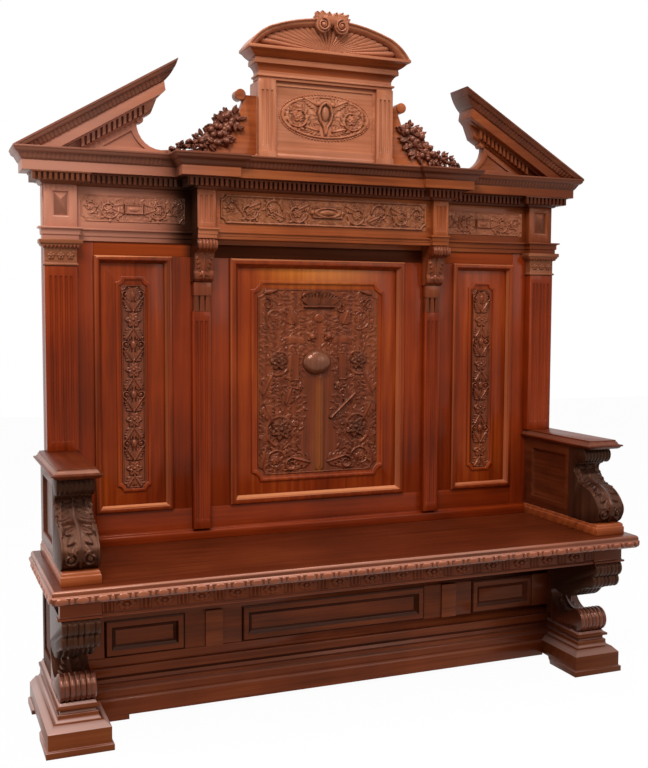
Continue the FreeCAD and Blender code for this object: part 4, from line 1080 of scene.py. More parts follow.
def swept_carving(
    name: str, front: np.ndarray, behind: Sequence[Point2], middle: float, half: float,
    carve: Callable[[Relief, float, float], None], finish: WoodFinish,
    pitch: float = 2.6, end_swell: float = 0.0,
) -> Piece:
    """Bracket or scroll whose curved front is carved: a side outline drawn out along X.

    Args:
        name: the piece's name.
        front: points (y, z) of the carved front, from its top down.
        behind: points (y, z) that close the outline behind, from the bottom up.
        middle: x of its middle.
        half: half its width.
        carve: draws the motifs on a net of (across from the middle, distance down the front).
        finish: the wood.
        pitch: distance between points.
        end_swell: height of a raised edge along both sides.

    Returns:
        The finished object.
    """
    line = evenly(front, pitch)
    step = np.gradient(line, axis=0)
    step /= np.linalg.norm(step, axis=1)[:, None]
    out = np.stack([step[:, 1], -step[:, 0]], axis=1)
    run = np.concatenate([[0.0], np.cumsum(np.linalg.norm(np.diff(line, axis=0), axis=1))])
    columns = int(2 * half / pitch) + 1
    across, down = np.meshgrid(np.linspace(-half, half, columns), run)
    relief = Relief(across, down)
    carve(relief, half, float(run[-1]))
    if end_swell > 0.0:
        edge = end_swell * rounded((half - np.abs(relief.x) - SWELL_HALF) / SWELL_HALF)
        relief.height = np.maximum(relief.height, edge)
    height, hollow = relief.result()
    net = np.zeros(across.shape + (3,))
    net[:, :, 0] = across + middle
    net[:, :, 1] = line[:, :1] + out[:, :1] * height
    net[:, :, 2] = line[:, 1:] + out[:, 1:] * height
    body = Body()
    first = body.grid(net, hollow)
    rows = len(line)
    left = [first + row * columns for row in range(rows)]
    right = [first + row * columns + columns - 1 for row in range(rows)]
    near = body.points([[middle - half, y, z] for y, z in behind])
    far = body.points([[middle + half, y, z] for y, z in behind])
    count = len(behind)
    body.face(left + [near + index for index in range(count)])
    body.face(right + [far + index for index in range(count)])
    for index in range(count - 1):
        body.face([near + index, near + index + 1, far + index + 1, far + index])
    bottom = [first + (rows - 1) * columns + column for column in range(columns)]
    top = [first + column for column in range(columns)]
    body.face(bottom + [far, near])
    body.face(top + [far + count - 1, near + count - 1])
    return body.build(name, finish, Grain.Z)


# Repeats grown by rule

class GrownTree:
    """A tree that repeats the object it is put on, with named inputs."""

    def __init__(self, name: str) -> None:
        """Starts the tree with its geometry sockets.

        Args:
            name: the tree's name.
        """
        self.tree = bpy.data.node_groups.new(name, "GeometryNodeTree")
        for way in ("INPUT", "OUTPUT"):
            self.tree.interface.new_socket(name="Geometry", in_out=way, socket_type="NodeSocketGeometry")
        self.graph = Graph(self.tree)
        self.entry = self.tree.nodes.new("NodeGroupInput")
        self.ids: dict[str, str] = {}

    def input(self, name: str, kind: str) -> Value:
        """Adds a named input.

        Args:
            name: the input's name.
            kind: its socket type.

        Returns:
            Its value in the tree.
        """
        socket = self.tree.interface.new_socket(name=name, in_out="INPUT", socket_type=kind)
        self.ids[name] = socket.identifier
        return Value(self.graph, self.entry.outputs[name])

    def points(self, count: Value, start: Any, step: Any) -> Value:
        """Points in a row, from a place on and a step apart."""
        places = {"Count": count, "Start Location": start, "Offset": step}
        return self.graph.out("GeometryNodeMeshLine", {}, places)

    def end(self, points: Value, turn: Value, size: Value) -> None:
        """Puts the object on each point and makes it real.

        Args:
            points: the points.
            turn: turn about Y in radians.
            size: its three scales.
        """
        material = self.input("Material", "NodeSocketMaterial")
        unit = Value(self.graph, self.entry.outputs["Geometry"])
        rotation = self.graph.vector(0.0, turn, 0.0)
        copies = self.graph.out("GeometryNodeInstanceOnPoints", {}, {
            "Points": points, "Instance": unit, "Rotation": rotation, "Scale": size,
        })
        real = self.graph.out("GeometryNodeRealizeInstances", {}, {0: copies})
        dressed = self.graph.out("GeometryNodeSetMaterial", {}, {"Geometry": real, "Material": material})
        self.graph.node("NodeGroupOutput", {}, {0: dressed})

    def grow(self, unit: Piece, values: dict[str, Any]) -> None:
        """Runs the tree on an object and keeps the result as its plain mesh.

        Args:
            unit: object to repeat.
            values: value of each named input.
        """
        modifier = unit.modifiers.new("grow", "NODES")
        modifier.node_group = self.tree
        for name, value in values.items():
            modifier[self.ids[name]] = value
        settle(unit)


class RowTree(GrownTree):
    """Repeats a unit along a straight line, each a little different in size."""

    def __init__(self) -> None:
        """Builds the tree."""
        super().__init__("row_of_ornaments")
        count = self.input("Count", "NodeSocketInt")
        start = self.input("Start", "NodeSocketVector")
        step = self.input("Step", "NodeSocketVector")
        turn = self.input("Turn", "NodeSocketFloat")
        points = self.points(count, start, step)
        jitter = self.graph.out("FunctionNodeRandomValue", {"data_type": "FLOAT"}, {
            "Min_001": 0.95, "Max_001": 1.04, "Seed": SEED,
        }, "Value_001")
        self.end(points, turn, self.graph.vector(jitter, jitter, jitter))


class FanTree(GrownTree):
    """Turns a rib round a hub, each as long as the arch over it allows."""

    def __init__(self) -> None:
        """Builds the tree."""
        super().__init__("fan_of_ribs")
        count = self.input("Count", "NodeSocketInt")
        hub = self.input("Hub", "NodeSocketVector")
        half = self.input("Half width of the arch", "NodeSocketFloat")
        rise = self.input("Rise of the arch", "NodeSocketFloat")
        points = self.points(count, hub, (0.0, 0.0, 0.0))
        index = self.graph.out("GeometryNodeInputIndex", {}, {})
        share = (index * 2.0 + 1.0) * (count ** -1.0) - 1.0
        across = share * half
        up = rise * (1.0 - share ** 2.0) ** 0.62
        reach = (across ** 2.0 + up ** 2.0).root()
        angle = up.arctan2(across)
        self.end(points, 0.0 - angle, self.graph.vector(reach, 1.0, 1.0))


class RingTree(GrownTree):
    """Sets a unit evenly round an oval."""

    def __init__(self) -> None:
        """Builds the tree."""
        super().__init__("ring_of_beads")
        count = self.input("Count", "NodeSocketInt")
        centre = self.input("Centre", "NodeSocketVector")
        across = self.input("Half width", "NodeSocketFloat")
        tall = self.input("Half height", "NodeSocketFloat")
        points = self.points(count, (0.0, 0.0, 0.0), (0.0, 0.0, 0.0))
        index = self.graph.out("GeometryNodeInputIndex", {}, {})
        angle = index * (2 * math.pi) * (count ** -1.0)
        offset = self.graph.vector(across * angle.cosine(), 0.0, tall * angle.sine())
        place = self.graph.out("ShaderNodeVectorMath", {"operation": "ADD"}, {0: centre, 1: offset})
        moved = self.graph.out("GeometryNodeSetPosition", {}, {"Geometry": points, "Position": place})
        self.end(moved, 0.0 - angle, self.graph.vector(1.0, 1.0, 1.0))


# Plain joinery

@dataclass
class Joinery:
    """The bench's plain boards and mouldings, with eased edges, each in its wood."""

    merge: float = 0.00002
    edge: float = 0.0013
    round_angle: float = 42.0
    flat_angle: float = 0.4
    crown_depth: float = 36.8
    crown_low: float = 1637.0
    shade_low: float = 1371.5
    shade_half: float = 440.0
    mullion_inner: float = 378.0
    mullion_outer: float = 438.0
    mullion_back: float = 60.0
    finishes: dict[str, WoodFinish] = field(default_factory=lambda: {
        "plinth_foot": FOOT, "end_board": END, "end_panel": END, "base_": BASE, "base_back_board": PLAIN,
        "seat_board": SEAT, "seat_bearers": PLAIN, "apron": BASE, "plinth_packing_block": BASE,
        "arm_base": STILE, "arm_board": ARM, "arm_cap": SEAT,
        "seat_skirting": BACK, "back_": BACK, "back_panel": FIELD, "back_panel_mouldings": MOULDING,
        "pilaster": BACK, "pilaster_capitals": CAPITAL, "console": CARVED,
        "corner_blocks": FACET, "dentil_courses": DENTIL, "tabernacle": CROWN,
    })
    # Second tone of each node, CYMA where none is given: another wood on some faces, painted shade on those picked
    # as shaded
    second_tones: dict[str, WoodFinish] = field(default_factory=lambda: {
        "back_frame_members": SHADE, "base_frame_members": STILE, "seat_board": EDGE,
        "base_panels": SHADE, "base_moulding": SHADE, "tabernacle_cornice": STILE,
    })
    unpolished: tuple[str, ...] = ("seat_bearers", "plinth_packing_block", "base_back_board")
    level_cornices: tuple[str, ...] = ("left_wing_cornice", "centre_cornice", "right_wing_cornice")

    def choose(self, node: str) -> WoodFinish:
        """Finish of a node: that of the longest key which is in its name."""
        key = max((part for part in self.finishes if part in node), key=len, default="")
        return self.finishes.get(key, UPPER)

    def dress(self, node: str) -> None:
        """Copies a CAD node with merged corners, eased edges and a grain along each board.

        Args:
            node: name of the CAD node.
        """
        work = bmesh.new()
        work.from_mesh(frame["nodes"][node].data)
        bmesh.ops.remove_doubles(work, verts=work.verts, dist=self.merge)
        # The toothed band of a raking cornice keeps its triangles, because as one face it fills badly
        if "raking" not in node:
            bmesh.ops.dissolve_limit(
                work, angle_limit=math.radians(self.flat_angle), verts=work.verts, edges=work.edges,
            )
        self._set_grain(work, "foot" in node or "arm_base" in node)
        # Faces of a second wood, and faces in painted shade, take the second set of materials
        for face in work.faces:
            if self._gets_second_tone(node, face):
                face.material_index += len(Grain)
        mesh = bpy.data.meshes.new(node + "_wood")
        work.to_mesh(mesh)
        work.free()
        for stale in ("custom_normal", "sharp_face", "sharp_edge"):
            if stale in mesh.attributes:
                mesh.attributes.remove(mesh.attributes[stale])
        woods = self.choose(node), self.second_tones.get(node, CYMA)
        grains = [wood.material(grain) for wood in woods for grain in Grain]
        piece = placed(node + "_wood", mesh, grains, self.round_angle)
        ease = piece.modifiers.new("ease", "BEVEL")
        ease.width = self.edge
        ease.segments = 2
        ease.limit_method = "ANGLE"
        ease.angle_limit = math.radians(self.round_angle)
        settle(piece)
        piece.data.shade_smooth()
        piece.data.set_sharp_from_angle(angle=math.radians(self.round_angle))
        mounted(piece, node, slot="plain_wood" if node in self.unpolished else "polished_walnut")

    def _gets_second_tone(self, node: str, face: bmesh.types.BMFace) -> bool:
        """Whether a face gets the second tone of its node, another wood on some faces and painted shade on others.

        Args:
            node: name of the CAD node.
            face: a face of its copy.

        Returns:
            True on the cornices' crowns, the mullions and the seat's nosing, which take another wood,
            and on the cornices' undersides, the rail in the breakfront's shadow, the corner blocks' side
            and lower facets and the sunk or lower faces of the base, which take painted shade.
        """
        spot, normal = face.calc_center_median() / MM, face.normal
        aside = abs(spot.x)
        if "raking" in node:
            depth = RAKE_RISE * (RAKE_FOOT[0] - aside) - RAKE_RUN * (spot.z - RAKE_FOOT[1])
            return depth < self.crown_depth
        if "cornice" in node:
            crown = node in self.level_cornices and spot.z > self.crown_low
            return crown or normal.z < -0.2
        if node == "corner_blocks":
            return normal.y < -0.3 and (abs(normal.x) > 0.1 or normal.z < -0.1)
        if node == "back_frame_members":
            return spot.z > self.shade_low and aside < self.shade_half
        if node == "base_frame_members":
            return self.mullion_inner < aside < self.mullion_outer and spot.y < self.mullion_back
        turned = {"seat_board": normal.z < 0.9, "base_panels": abs(normal.y) < 0.98}
        return turned.get(node, node == "base_moulding" and normal.z < -0.2)

    @staticmethod
    def _set_grain(work: bmesh.types.BMesh, crosswise: bool) -> None:
        """Gives each separate board its grain, as the material index of its faces.

        Args:
            work: the boards.
            crosswise: whether the grain runs from side to side, and not along a board's longest side.
        """
        seen: set[int] = set()
        work.verts.index_update()
        for vertex in work.verts:
            if vertex.index in seen:
                continue
            island, queue = [], [vertex]
            seen.add(vertex.index)
            while queue:
                here = queue.pop()
                island.append(here)
                for edge in here.link_edges:
                    other = edge.other_vert(here)
                    if other.index not in seen:
                        seen.add(other.index)
                        queue.append(other)
            spans = [max(v.co[k] for v in island) - min(v.co[k] for v in island) for k in range(3)]
            axis = 0 if crosswise else spans.index(max(spans))
            for here in island:
                for face in here.link_faces:
                    face.material_index = axis


# Carved back panels

@dataclass
class BackPanels:
    """Carving of the three panels of the back."""

    ground: float = 223.4
    centre_low: Point2 = (-214.0, 669.0)
    centre_high: Point2 = (214.0, 1277.0)
    strip_middle: float = 616.0
    strip_half: float = 37.0
    strip_low: float = 655.0
    strip_high: float = 1283.0
    pitch: float = 2.0
    strip_pitch: float = 1.6
    boss_centre: Point2 = (-8.0, 1036.0)
    boss_half: Point2 = (51.0, 42.0)
    boss_height: float = 27.0

    def carve_centre(self, relief: Relief) -> None:
        """Shaft, boss, crown of leaves, four flowers and leafy scrolls on a ground of small leaves.

        Args:
            relief: the panel's field.
        """
        relief.tangle((12.0, 676.0), (206.0, 1270.0), 12.5, 4.4, (60.0, 985.0))
        for side in (-1, 1):
            relief.scroll(side * 133.0, 818.0, 56.0, 90.0 - side * 160.0, side, 5.5)
            relief.rosette(side * 133.0, 818.0, 37.0, 13.5, 7)
            relief.scroll(side * 142.0, 1040.0, 46.0, 270.0 + side * 20.0, -side, 5.0, 6)
            relief.rosette(side * 142.0, 1040.0, 30.0, 12.0)
            relief.scroll(side * 150.0, 1180.0, 36.0, 250.0, side, 5.5, 5, 5)
            relief.petal(side * 196.0, 1262.0, 90.0 + side * 80.0, 48.0, 15.0, 9.0, 0.0)
            relief.ridge(spiral(side * 182.0, 1226.0, 20.0, 90.0, side, 0.7), 6.0, 8.0)
            relief.scroll(side * 152.0, 716.0, 36.0, 90.0 + side * 70.0, -side, 6.5, 6)
            relief.spray(side * 200.0, 690.0, 90.0 + side * 12.0, 70.0, 36.0, 6.0)
            relief.spray(side * 196.0, 930.0, 90.0 + side * 26.0, 84.0, 44.0, 6.0)
            relief.spray(side * 190.0, 900.0, 270.0 - side * 26.0, 70.0, 40.0, 6.0)
            relief.spray(side * 116.0, 900.0, 90.0 + side * 20.0, 60.0, 40.0, 6.0)
            relief.spray(side * 84.0, 1160.0, 90.0 - side * 24.0, 56.0, 40.0, 5.5)
            relief.spray(side * 30.0, 704.0, 90.0 - side * 74.0, 70.0, 40.0, 6.5)
            relief.ridge(spiral(side * 98.0, 700.0, 22.0, 90.0, -side), 7.0, 9.5)
            relief.petal(side * 60.0, 690.0, 90.0 - side * 96.0, 62.0, 16.0, 7.0, 0.3)
            relief.strap((side * 84.0, 976.0), (side * 84.0, 1069.0), 26.0, 4.5)
            relief.petal(side * 50.0, 1108.0, 90.0 - side * 84.0, 78.0, 30.0, 4.5, 0.0)
            relief.petal(side * 46.0, 1100.0, 90.0 - side * 70.0, 54.0, 22.0, 4.0, 0.0)
            relief.rosette(5.0 + side * 30.0, 1121.0, 19.0, 9.0, 5)
            relief.dome(5.0 + side * 30.0, 1121.0, 11.0, 11.0, 13.0)
            relief.rosette(side * 68.0, 957.0, 15.0, 9.0, 5)
        relief.ridge([(2.0, 690.0), (2.0, 985.0)], 34.0, 3.5, 0.0)
        relief.ridge([(2.0, 690.0), (2.0, 985.0)], 10.0, 5.5, 0.0)
        relief.ridge([(43.0, 852.0), (128.0, 930.0)], 11.0, 12.0, 0.1)
        relief.dome(-8.0, 1036.0, 58.0, 49.0, 3.0)
        for index in range(13):
            angle = 14.0 + 12.6 * index
            spread = math.cos(math.radians(angle))
            relief.petal(4.0 + spread * 34.0, 1222.0, 34.0 + 9.4 * index, 46.0, 14.0, 10.0)
        relief.ridge([(-50.0, 1219.0), (52.0, 1219.0)], 9.0, 12.0, 0.0)
        relief.ridge(spiral(76.0, 1212.0, 14.0, 60.0, -1, 0.9), 6.0, 8.0)
        relief.petal(0.0, 1168.0, 90.0, 30.0, 40.0, 7.0, 0.0)
        relief.border(self.centre_low, self.centre_high, 6.0, 3.0, 26.0)
        # Darker flowers and a darker crown of leaves
        for x, z, reach in ((133.0, 818.0, 46.0), (142.0, 1040.0, 38.0)):
            away = np.hypot(np.abs(relief.x) - x, relief.z - z) / reach
            relief.darken(0.55 * np.clip(1.6 - 1.4 * away, 0.0, 1.0))
        spread = np.hypot((relief.x - 2.0) / 74.0, (relief.z - 1240.0) / 40.0)
        relief.darken(0.45 * np.clip(2.0 - 1.8 * spread, 0.0, 1.0))

    def carve_boss(self, relief: Relief) -> None:
        """Smooth oval boss that covers its board."""
        relief.dome(*self.boss_centre, *self.boss_half, self.boss_height)

    def carve_strip(self, relief: Relief, middle: float) -> None:
        """Upright candelabra of flowers, leaves and buds.

        Args:
            relief: the strip's field.
            middle: x of its middle line.
        """
        relief.ridge([(middle, 668.0), (middle, 1270.0)], 7.0, 6.0, 0.0)
        for height in (716.0, 868.0, 1022.0, 1176.0):
            relief.rosette(middle, height, 25.0, 9.0)
            for side in (-1, 1):
                relief.spray(middle, height + 26.0, 90.0 - side * 34.0, 50.0, 30.0, 7.0)
                relief.spray(middle, height - 26.0, 270.0 + side * 34.0, 48.0, 30.0, 7.0)
                relief.ridge(spiral(middle + side * 22.0, height + 78.0, 13.0, 270.0, side), 5.5, 7.0)
                relief.dome(middle + side * 22.0, height + 78.0, 5.0, 5.0, 7.5)
            relief.dome(middle, height + 76.0, 9.0, 15.0, 9.0)
        relief.spray(middle, 1232.0, 90.0, 44.0, 44.0, 8.0)
        low = (middle - self.strip_half, self.strip_low)
        relief.border(low, (middle + self.strip_half, self.strip_high), 5.0, 4.5, 14.0)

    def build(self) -> None:
        """Makes the carvings of the three panels."""
        CarvedBoard(
            "centre_panel_carving", self.ground, self.pitch, self.carve_centre, PANEL_CARVING,
        ).oblong(self.centre_low, self.centre_high)
        boss = CarvedBoard("centre_panel_boss", self.ground, self.pitch, self.carve_boss, BOSS)
        boss.oval(self.boss_centre, self.boss_half)
        for side, word in SIDES:
            middle = side * self.strip_middle
            CarvedBoard(
                word + "_panel_carving", self.ground, self.strip_pitch,
                partial(self.carve_strip, middle=middle), CARVED,
            ).oblong((middle - self.strip_half, self.strip_low), (middle + self.strip_half, self.strip_high))


# Carved friezes

@dataclass
class Friezes:
    """Carved fields of the entablature."""

    wing_face: float = 214.6
    wing_inner: float = 452.0
    wing_outer: float = 772.0
    wing_low: float = 1471.0
    wing_high: float = 1551.0
    centre_face: float = 155.6
    centre_half: float = 357.0
    centre_low: float = 1474.0
    centre_high: float = 1564.0
    pitch: float = 1.6

    def carve_wing(self, relief: Relief, side: int) -> None:
        """Tablet between two leafy scrolls, on a ground of small leaves.

        Args:
            relief: the wing's field.
            side: -1 for the left wing, 1 for the right.
        """
        inner = (self.wing_inner + 8.0, self.wing_low + 6.0)
        relief.tangle(inner, (self.wing_outer - 8.0, self.wing_high), 11.0, 2.8)
        middle = side * (self.wing_inner + self.wing_outer) / 2
        level = (self.wing_low + self.wing_high) / 2
        for hand in (-1, 1):
            relief.scroll(middle + hand * 76.0, level - 2.0, 30.0, 90.0 + hand * 90.0, hand, 8.0, 6)
            relief.scroll(middle + hand * 132.0, level + 4.0, 20.0, 270.0, -hand, 6.5, 5, 5)
            relief.spray(middle + hand * 30.0, level - 14.0, 90.0 - hand * 70.0, 44.0, 28.0, 7.0)
            relief.spray(middle + hand * 30.0, level + 14.0, 90.0 - hand * 100.0, 40.0, 24.0, 6.5)
        relief.strap((middle - 28.0, level), (middle + 28.0, level), 30.0, 8.0)
        relief.dome(middle, level, 20.0, 9.0, 9.5)
        left, right = sorted((side * self.wing_inner, side * self.wing_outer))
        relief.border((left, self.wing_low), (right, self.wing_high), 4.0, 2.5, 15.0)

    def carve_centre(self, relief: Relief) -> None:
        """Cartouche between winding scrolls with flowers, on a ground of small leaves.

        Args:
            relief: the breakfront's field.
        """
        relief.tangle((12.0, self.centre_low + 6.0), (self.centre_half - 8.0, self.centre_high), 11.0, 2.8)
        level = (self.centre_low + self.centre_high) / 2
        for hand in (-1, 1):
            scrolls = (104.0, 33.0), (186.0, 31.0), (264.0, 29.0), (322.0, 21.0)
            for index, (x, radius) in enumerate(scrolls):
                lift = 5.0 if index % 2 else -5.0
                start = 90.0 + hand * 90.0
                relief.scroll(hand * x, level + lift, radius, start, hand * (-1) ** index, 8.5, 6)
            for index, x in enumerate((62.0, 144.0, 226.0)):
                up = 1 if index % 2 else -1
                relief.spray(hand * x, level - up * 24.0, 90.0 - hand * (90.0 - up * 24.0), 46.0, 28.0, 7.5)
        relief.strap((-52.0, level), (52.0, level), 36.0, 9.0)
        relief.ring(0.0, level, 40.0, 14.0, 6.0, 11.0)
        relief.dome(0.0, level, 30.0, 10.0, 12.0)
        for side in (-1, 1):
            relief.dome(side * 52.0, level, 8.0, 8.0, 11.0)
        low = (-self.centre_half, self.centre_low)
        relief.border(low, (self.centre_half, self.centre_high), 7.0, 6.5, 16.0)

    def build(self) -> None:
        """Makes the three frieze carvings."""
        for side, word in SIDES:
            left, right = sorted((side * self.wing_inner, side * self.wing_outer))
            CarvedBoard(
                word + "_frieze_carving", self.wing_face, self.pitch,
                partial(self.carve_wing, side=side), WING,
            ).oblong((left, self.wing_low), (right, self.wing_high))
        CarvedBoard(
            "centre_frieze_carving", self.centre_face, self.pitch, self.carve_centre, FRIEZE,
        ).oblong((-self.centre_half, self.centre_low), (self.centre_half, self.centre_high))


# Tabernacle ornament

@dataclass
class Tabernacle:
    """Oval cartouche, shell, arch and crest over the middle."""

    face: float = 175.6
    oval_centre: Point2 = (0.0, 1824.0)
    oval_half: Point2 = (152.0, 69.0)
    arch_base: float = 2019.0
    arch_half: float = 274.0
    arch_rise: float = 100.0
    band: float = 20.0
    front: float = 126.0
    shell: float = 152.0
    rear: float = 219.0
    ribs: int = 23
    narrowing: float = 1.3
    volute_out: float = 31.0
    volute_drop: float = 19.0
    volute_radius: float = 24.0
    beads: int = 84
    bead_line: float = 3.5
    crest_leaves: tuple[Point3, ...] = (
        (13.0, 22.0, 15.0), (36.0, 24.0, 12.0), (55.0, 19.0, 14.0), (61.0, 5.0, 12.0),
    )

    def carve_oval(self, relief: Relief) -> None:
        """Vase with a pale rim between two flowers and their leaves.

        Args:
            relief: the oval's field.
        """
        x, z = self.oval_centre
        for side in (-1, 1):
            relief.scroll(x + side * 92.0, z - 2.0, 40.0, 90.0 - side * 60.0, -side, 9.0, 8)
            relief.spray(x + side * 30.0, z + 36.0, 90.0 - side * 66.0, 56.0, 30.0, 7.0)
            relief.spray(x + side * 22.0, z - 44.0, 90.0 - side * 78.0, 56.0, 30.0, 7.0)
            relief.spray(x + side * 124.0, z + 14.0, 90.0 - side * 76.0, 20.0, 22.0, 5.0)
            relief.ridge([
                (x + side * 2.0, z + 46.0), (x + side * 17.0, z + 34.0), (x + side * 23.0, z + 12.0),
                (x + side * 17.0, z - 12.0), (x + side * 5.0, z - 30.0), (x, z - 52.0),
            ], 9.0, 11.0, 0.1)
            relief.dome(x + side * 24.0, z + 42.0, 9.0, 8.0, 9.0)
        relief.dome(x, z + 12.0, 13.0, 24.0, 9.0)
        relief.tangle((34.0, z - 62.0), (132.0, z + 62.0), 13.0, 4.0)
        relief.ring(x, z, self.oval_half[0] - 5.0, self.oval_half[1] - 5.0, 6.0, 4.5)
        # Darker vase
        away = np.hypot((relief.x - x) / 13.0, (relief.z - z - 12.0) / 24.0)
        relief.darken(0.4 * np.clip(2.0 - away, 0.0, 1.0))

    def arc(self, inset: float) -> np.ndarray:
        """Flat curve of the crown, with rounder shoulders.

        Args:
            inset: distance inside the crown's edge.

        Returns:
            Points (x, z) from right to left.
        """
        half, rise = self.arch_half - inset * self.narrowing, self.arch_rise - inset
        shoulder = half * 0.74, self.arch_base + rise * 0.62
        side = half * 0.905, self.arch_base + rise * 0.32
        return traced([
            (half, self.arch_base),
            (side, shoulder),
            ((0.0, self.arch_base + rise), (-shoulder[0], shoulder[1])),
            ((-side[0], side[1]), (-half, self.arch_base)),
        ], 14)

    def build_arch(self) -> None:
        """Moulded arch over a plain back board."""
        section = [
            (0.0, self.rear), (0.0, self.front - 8.0), (3.0, self.front - 9.0), (6.0, self.front - 7.0),
            (7.0, self.front - 3.0), (11.0, self.front - 2.0), (15.0, self.front),
            (17.0, self.front + 5.0), (self.band, self.front + 8.0), (self.band, self.rear),
        ]
        net = np.array([[(x, y, z) for x, z in self.arc(inset)] for inset, y in section])
        rows, count = net.shape[:2]
        body = Body()
        first = body.grid(net, wrap_rows=True)
        body.face([first + row * count for row in range(rows)])
        body.face([first + row * count + count - 1 for row in range(rows)])
        back = self.arc(self.band - 2.0)
        front = np.stack([back[:, 0], np.full(count, self.shell), back[:, 1]], axis=1)
        low = body.points(front, 0.5)
        board = [low + index for index in range(count)]
        body.face(board)
        close_behind(body, board, self.rear - 2.0)
        mounted(body.build("shell_arch_wood", CROWN, Grain.X), "shell_arch", slot="polished_walnut")

    def build_shell(self) -> None:
        """Fan of round ribs with finger ends along the arch."""
        body = Body()
        stations = np.array([0.05, 0.2, 0.36, 0.52, 0.66, 0.78, 0.87, 0.93, 0.965, 0.985])
        sides = np.linspace(-1.0, 1.0, 7)
        net = np.zeros((len(stations), len(sides), 3))
        for row, reach in enumerate(stations):
            finger = math.sqrt(max(0.02, 1.0 - max(0.0, (reach - 0.87) / 0.12) ** 2))
            for column, side in enumerate(sides):
                crown = math.sqrt(max(0.0, 1.0 - side ** 2))
                lift = (3.0 + 11.0 * reach) * (0.3 + 0.7 * finger) * crown
                net[row, column] = (reach / MM, -1.0 - lift, 12.4 * reach * finger * side)
        first = body.grid(net)
        close_behind(body, rim(first, len(stations), len(sides)), 3.0)
        rib = body.build("shell_fan", CROWN, Grain.X, 70.0)
        inner = self.band + 1.0
        FanTree().grow(rib, {
            "Count": self.ribs, "Hub": (0.0, self.shell * MM, (self.arch_base + 4.0) * MM),
            "Half width of the arch": (self.arch_half - inner * self.narrowing) * MM,
            "Rise of the arch": (self.arch_rise - inner) * MM,
            "Material": CROWN.material(Grain.X),
        })
        mounted(rib, slot="polished_walnut")

    def build_crest(self) -> None:
        """Leaf crest with two volutes in front of the crown."""
        top = self.arch_base + self.arch_rise
        body = Body()
        for side in (-1, 1):
            for out, up, depth in self.crest_leaves:
                start = np.array([side * out * 0.45, top - 8.0])
                run = np.array([side * out, top + up]) - start
                angle = math.degrees(math.atan2(run[1], run[0]))
                place = (start[0], self.front - 2.0, start[1])
                leaf_solid(body, place, angle, float(np.linalg.norm(run)), 29.0, depth)
        body.ball((0.0, self.front - 2.0, top), (46.0, 11.0, 19.0), 8, 16)
        mounted(body.build("crest_leaves", CROWN, Grain.X, 60.0), "crest_scrolls")
        for side, word in SIDES:
            carve = partial(self.carve_volute, side=side)
            board = CarvedBoard(word + "_crest_volute", self.front - 9.0, 1.3, carve, CROWN, 14.0)
            centre = (side * self.volute_out, top - self.volute_drop)
            board.oval(centre, (self.volute_radius, self.volute_radius))

    def carve_volute(self, relief: Relief, side: int) -> None:
        """Spiral band with a button in its eye.

        Args:
            relief: the volute's field.
            side: -1 for the left volute, 1 for the right.
        """
        x, z = side * self.volute_out, self.arch_base + self.arch_rise - self.volute_drop
        relief.height = np.maximum(relief.height, 1.0)
        relief.ridge(spiral(x, z, 19.5, 90.0, side, 1.5), 7.0, 9.0, 0.3)
        relief.dome(x, z, 7.0, 7.0, 10.0)

    def build(self) -> None:
        """Makes the tabernacle's ornament."""
        board = CarvedBoard("oval_cartouche", self.face, 1.7, self.carve_oval, WING)
        board.oval(self.oval_centre, self.oval_half)
        bead = Body()
        bead.ball((0.0, 0.0, 0.0), (3.6, 3.2, 3.6), 5, 8)
        beads = bead.build("oval_beads", WING, Grain.X)
        RingTree().grow(beads, {
            "Count": self.beads, "Centre": (0.0, self.face * MM, self.oval_centre[1] * MM),
            "Half width": (self.oval_half[0] + self.bead_line) * MM,
            "Half height": (self.oval_half[1] + self.bead_line) * MM,
            "Material": WING.material(Grain.X),
        })
        mounted(beads)
        self.build_arch()
        self.build_shell()
        self.build_crest()


def leaf_solid(body: Body, base: Point3, angle: float, length: float, width: float, depth: float) -> None:
    """Adds a thick pointed leaf that lies in the plane of the front.

    Args:
        body: piece that it is added to.
        base: where it starts.
        angle: direction in degrees in (x, z).
        length: length.
        width: greatest width.
        depth: thickness of its crown toward -Y.
    """
    cos, sin = heading(angle)
    rows, columns = 9, 7
    share = np.linspace(0.02, 0.99, rows)
    side = np.linspace(-1.0, 1.0, columns)
    half = width / 2 * np.sin(math.pi * share ** 0.75) ** 0.7
    net = np.zeros((rows, columns, 3))
    off = np.outer(half, side)
    run = np.outer(share * length, np.ones(columns))
    crown = rounded(side) * (1.0 - 0.35 * np.exp(-(side / 0.25) ** 2))
    rise = np.outer(0.45 + 0.55 * share, crown) * depth
    net[:, :, 0] = base[0] + run * cos - off * sin
    net[:, :, 1] = base[1] - rise
    net[:, :, 2] = base[2] + run * sin + off * cos
    first = body.grid(net)
    close_behind(body, rim(first, rows, columns), base[1] + depth * 0.6)


# Swags of fruit

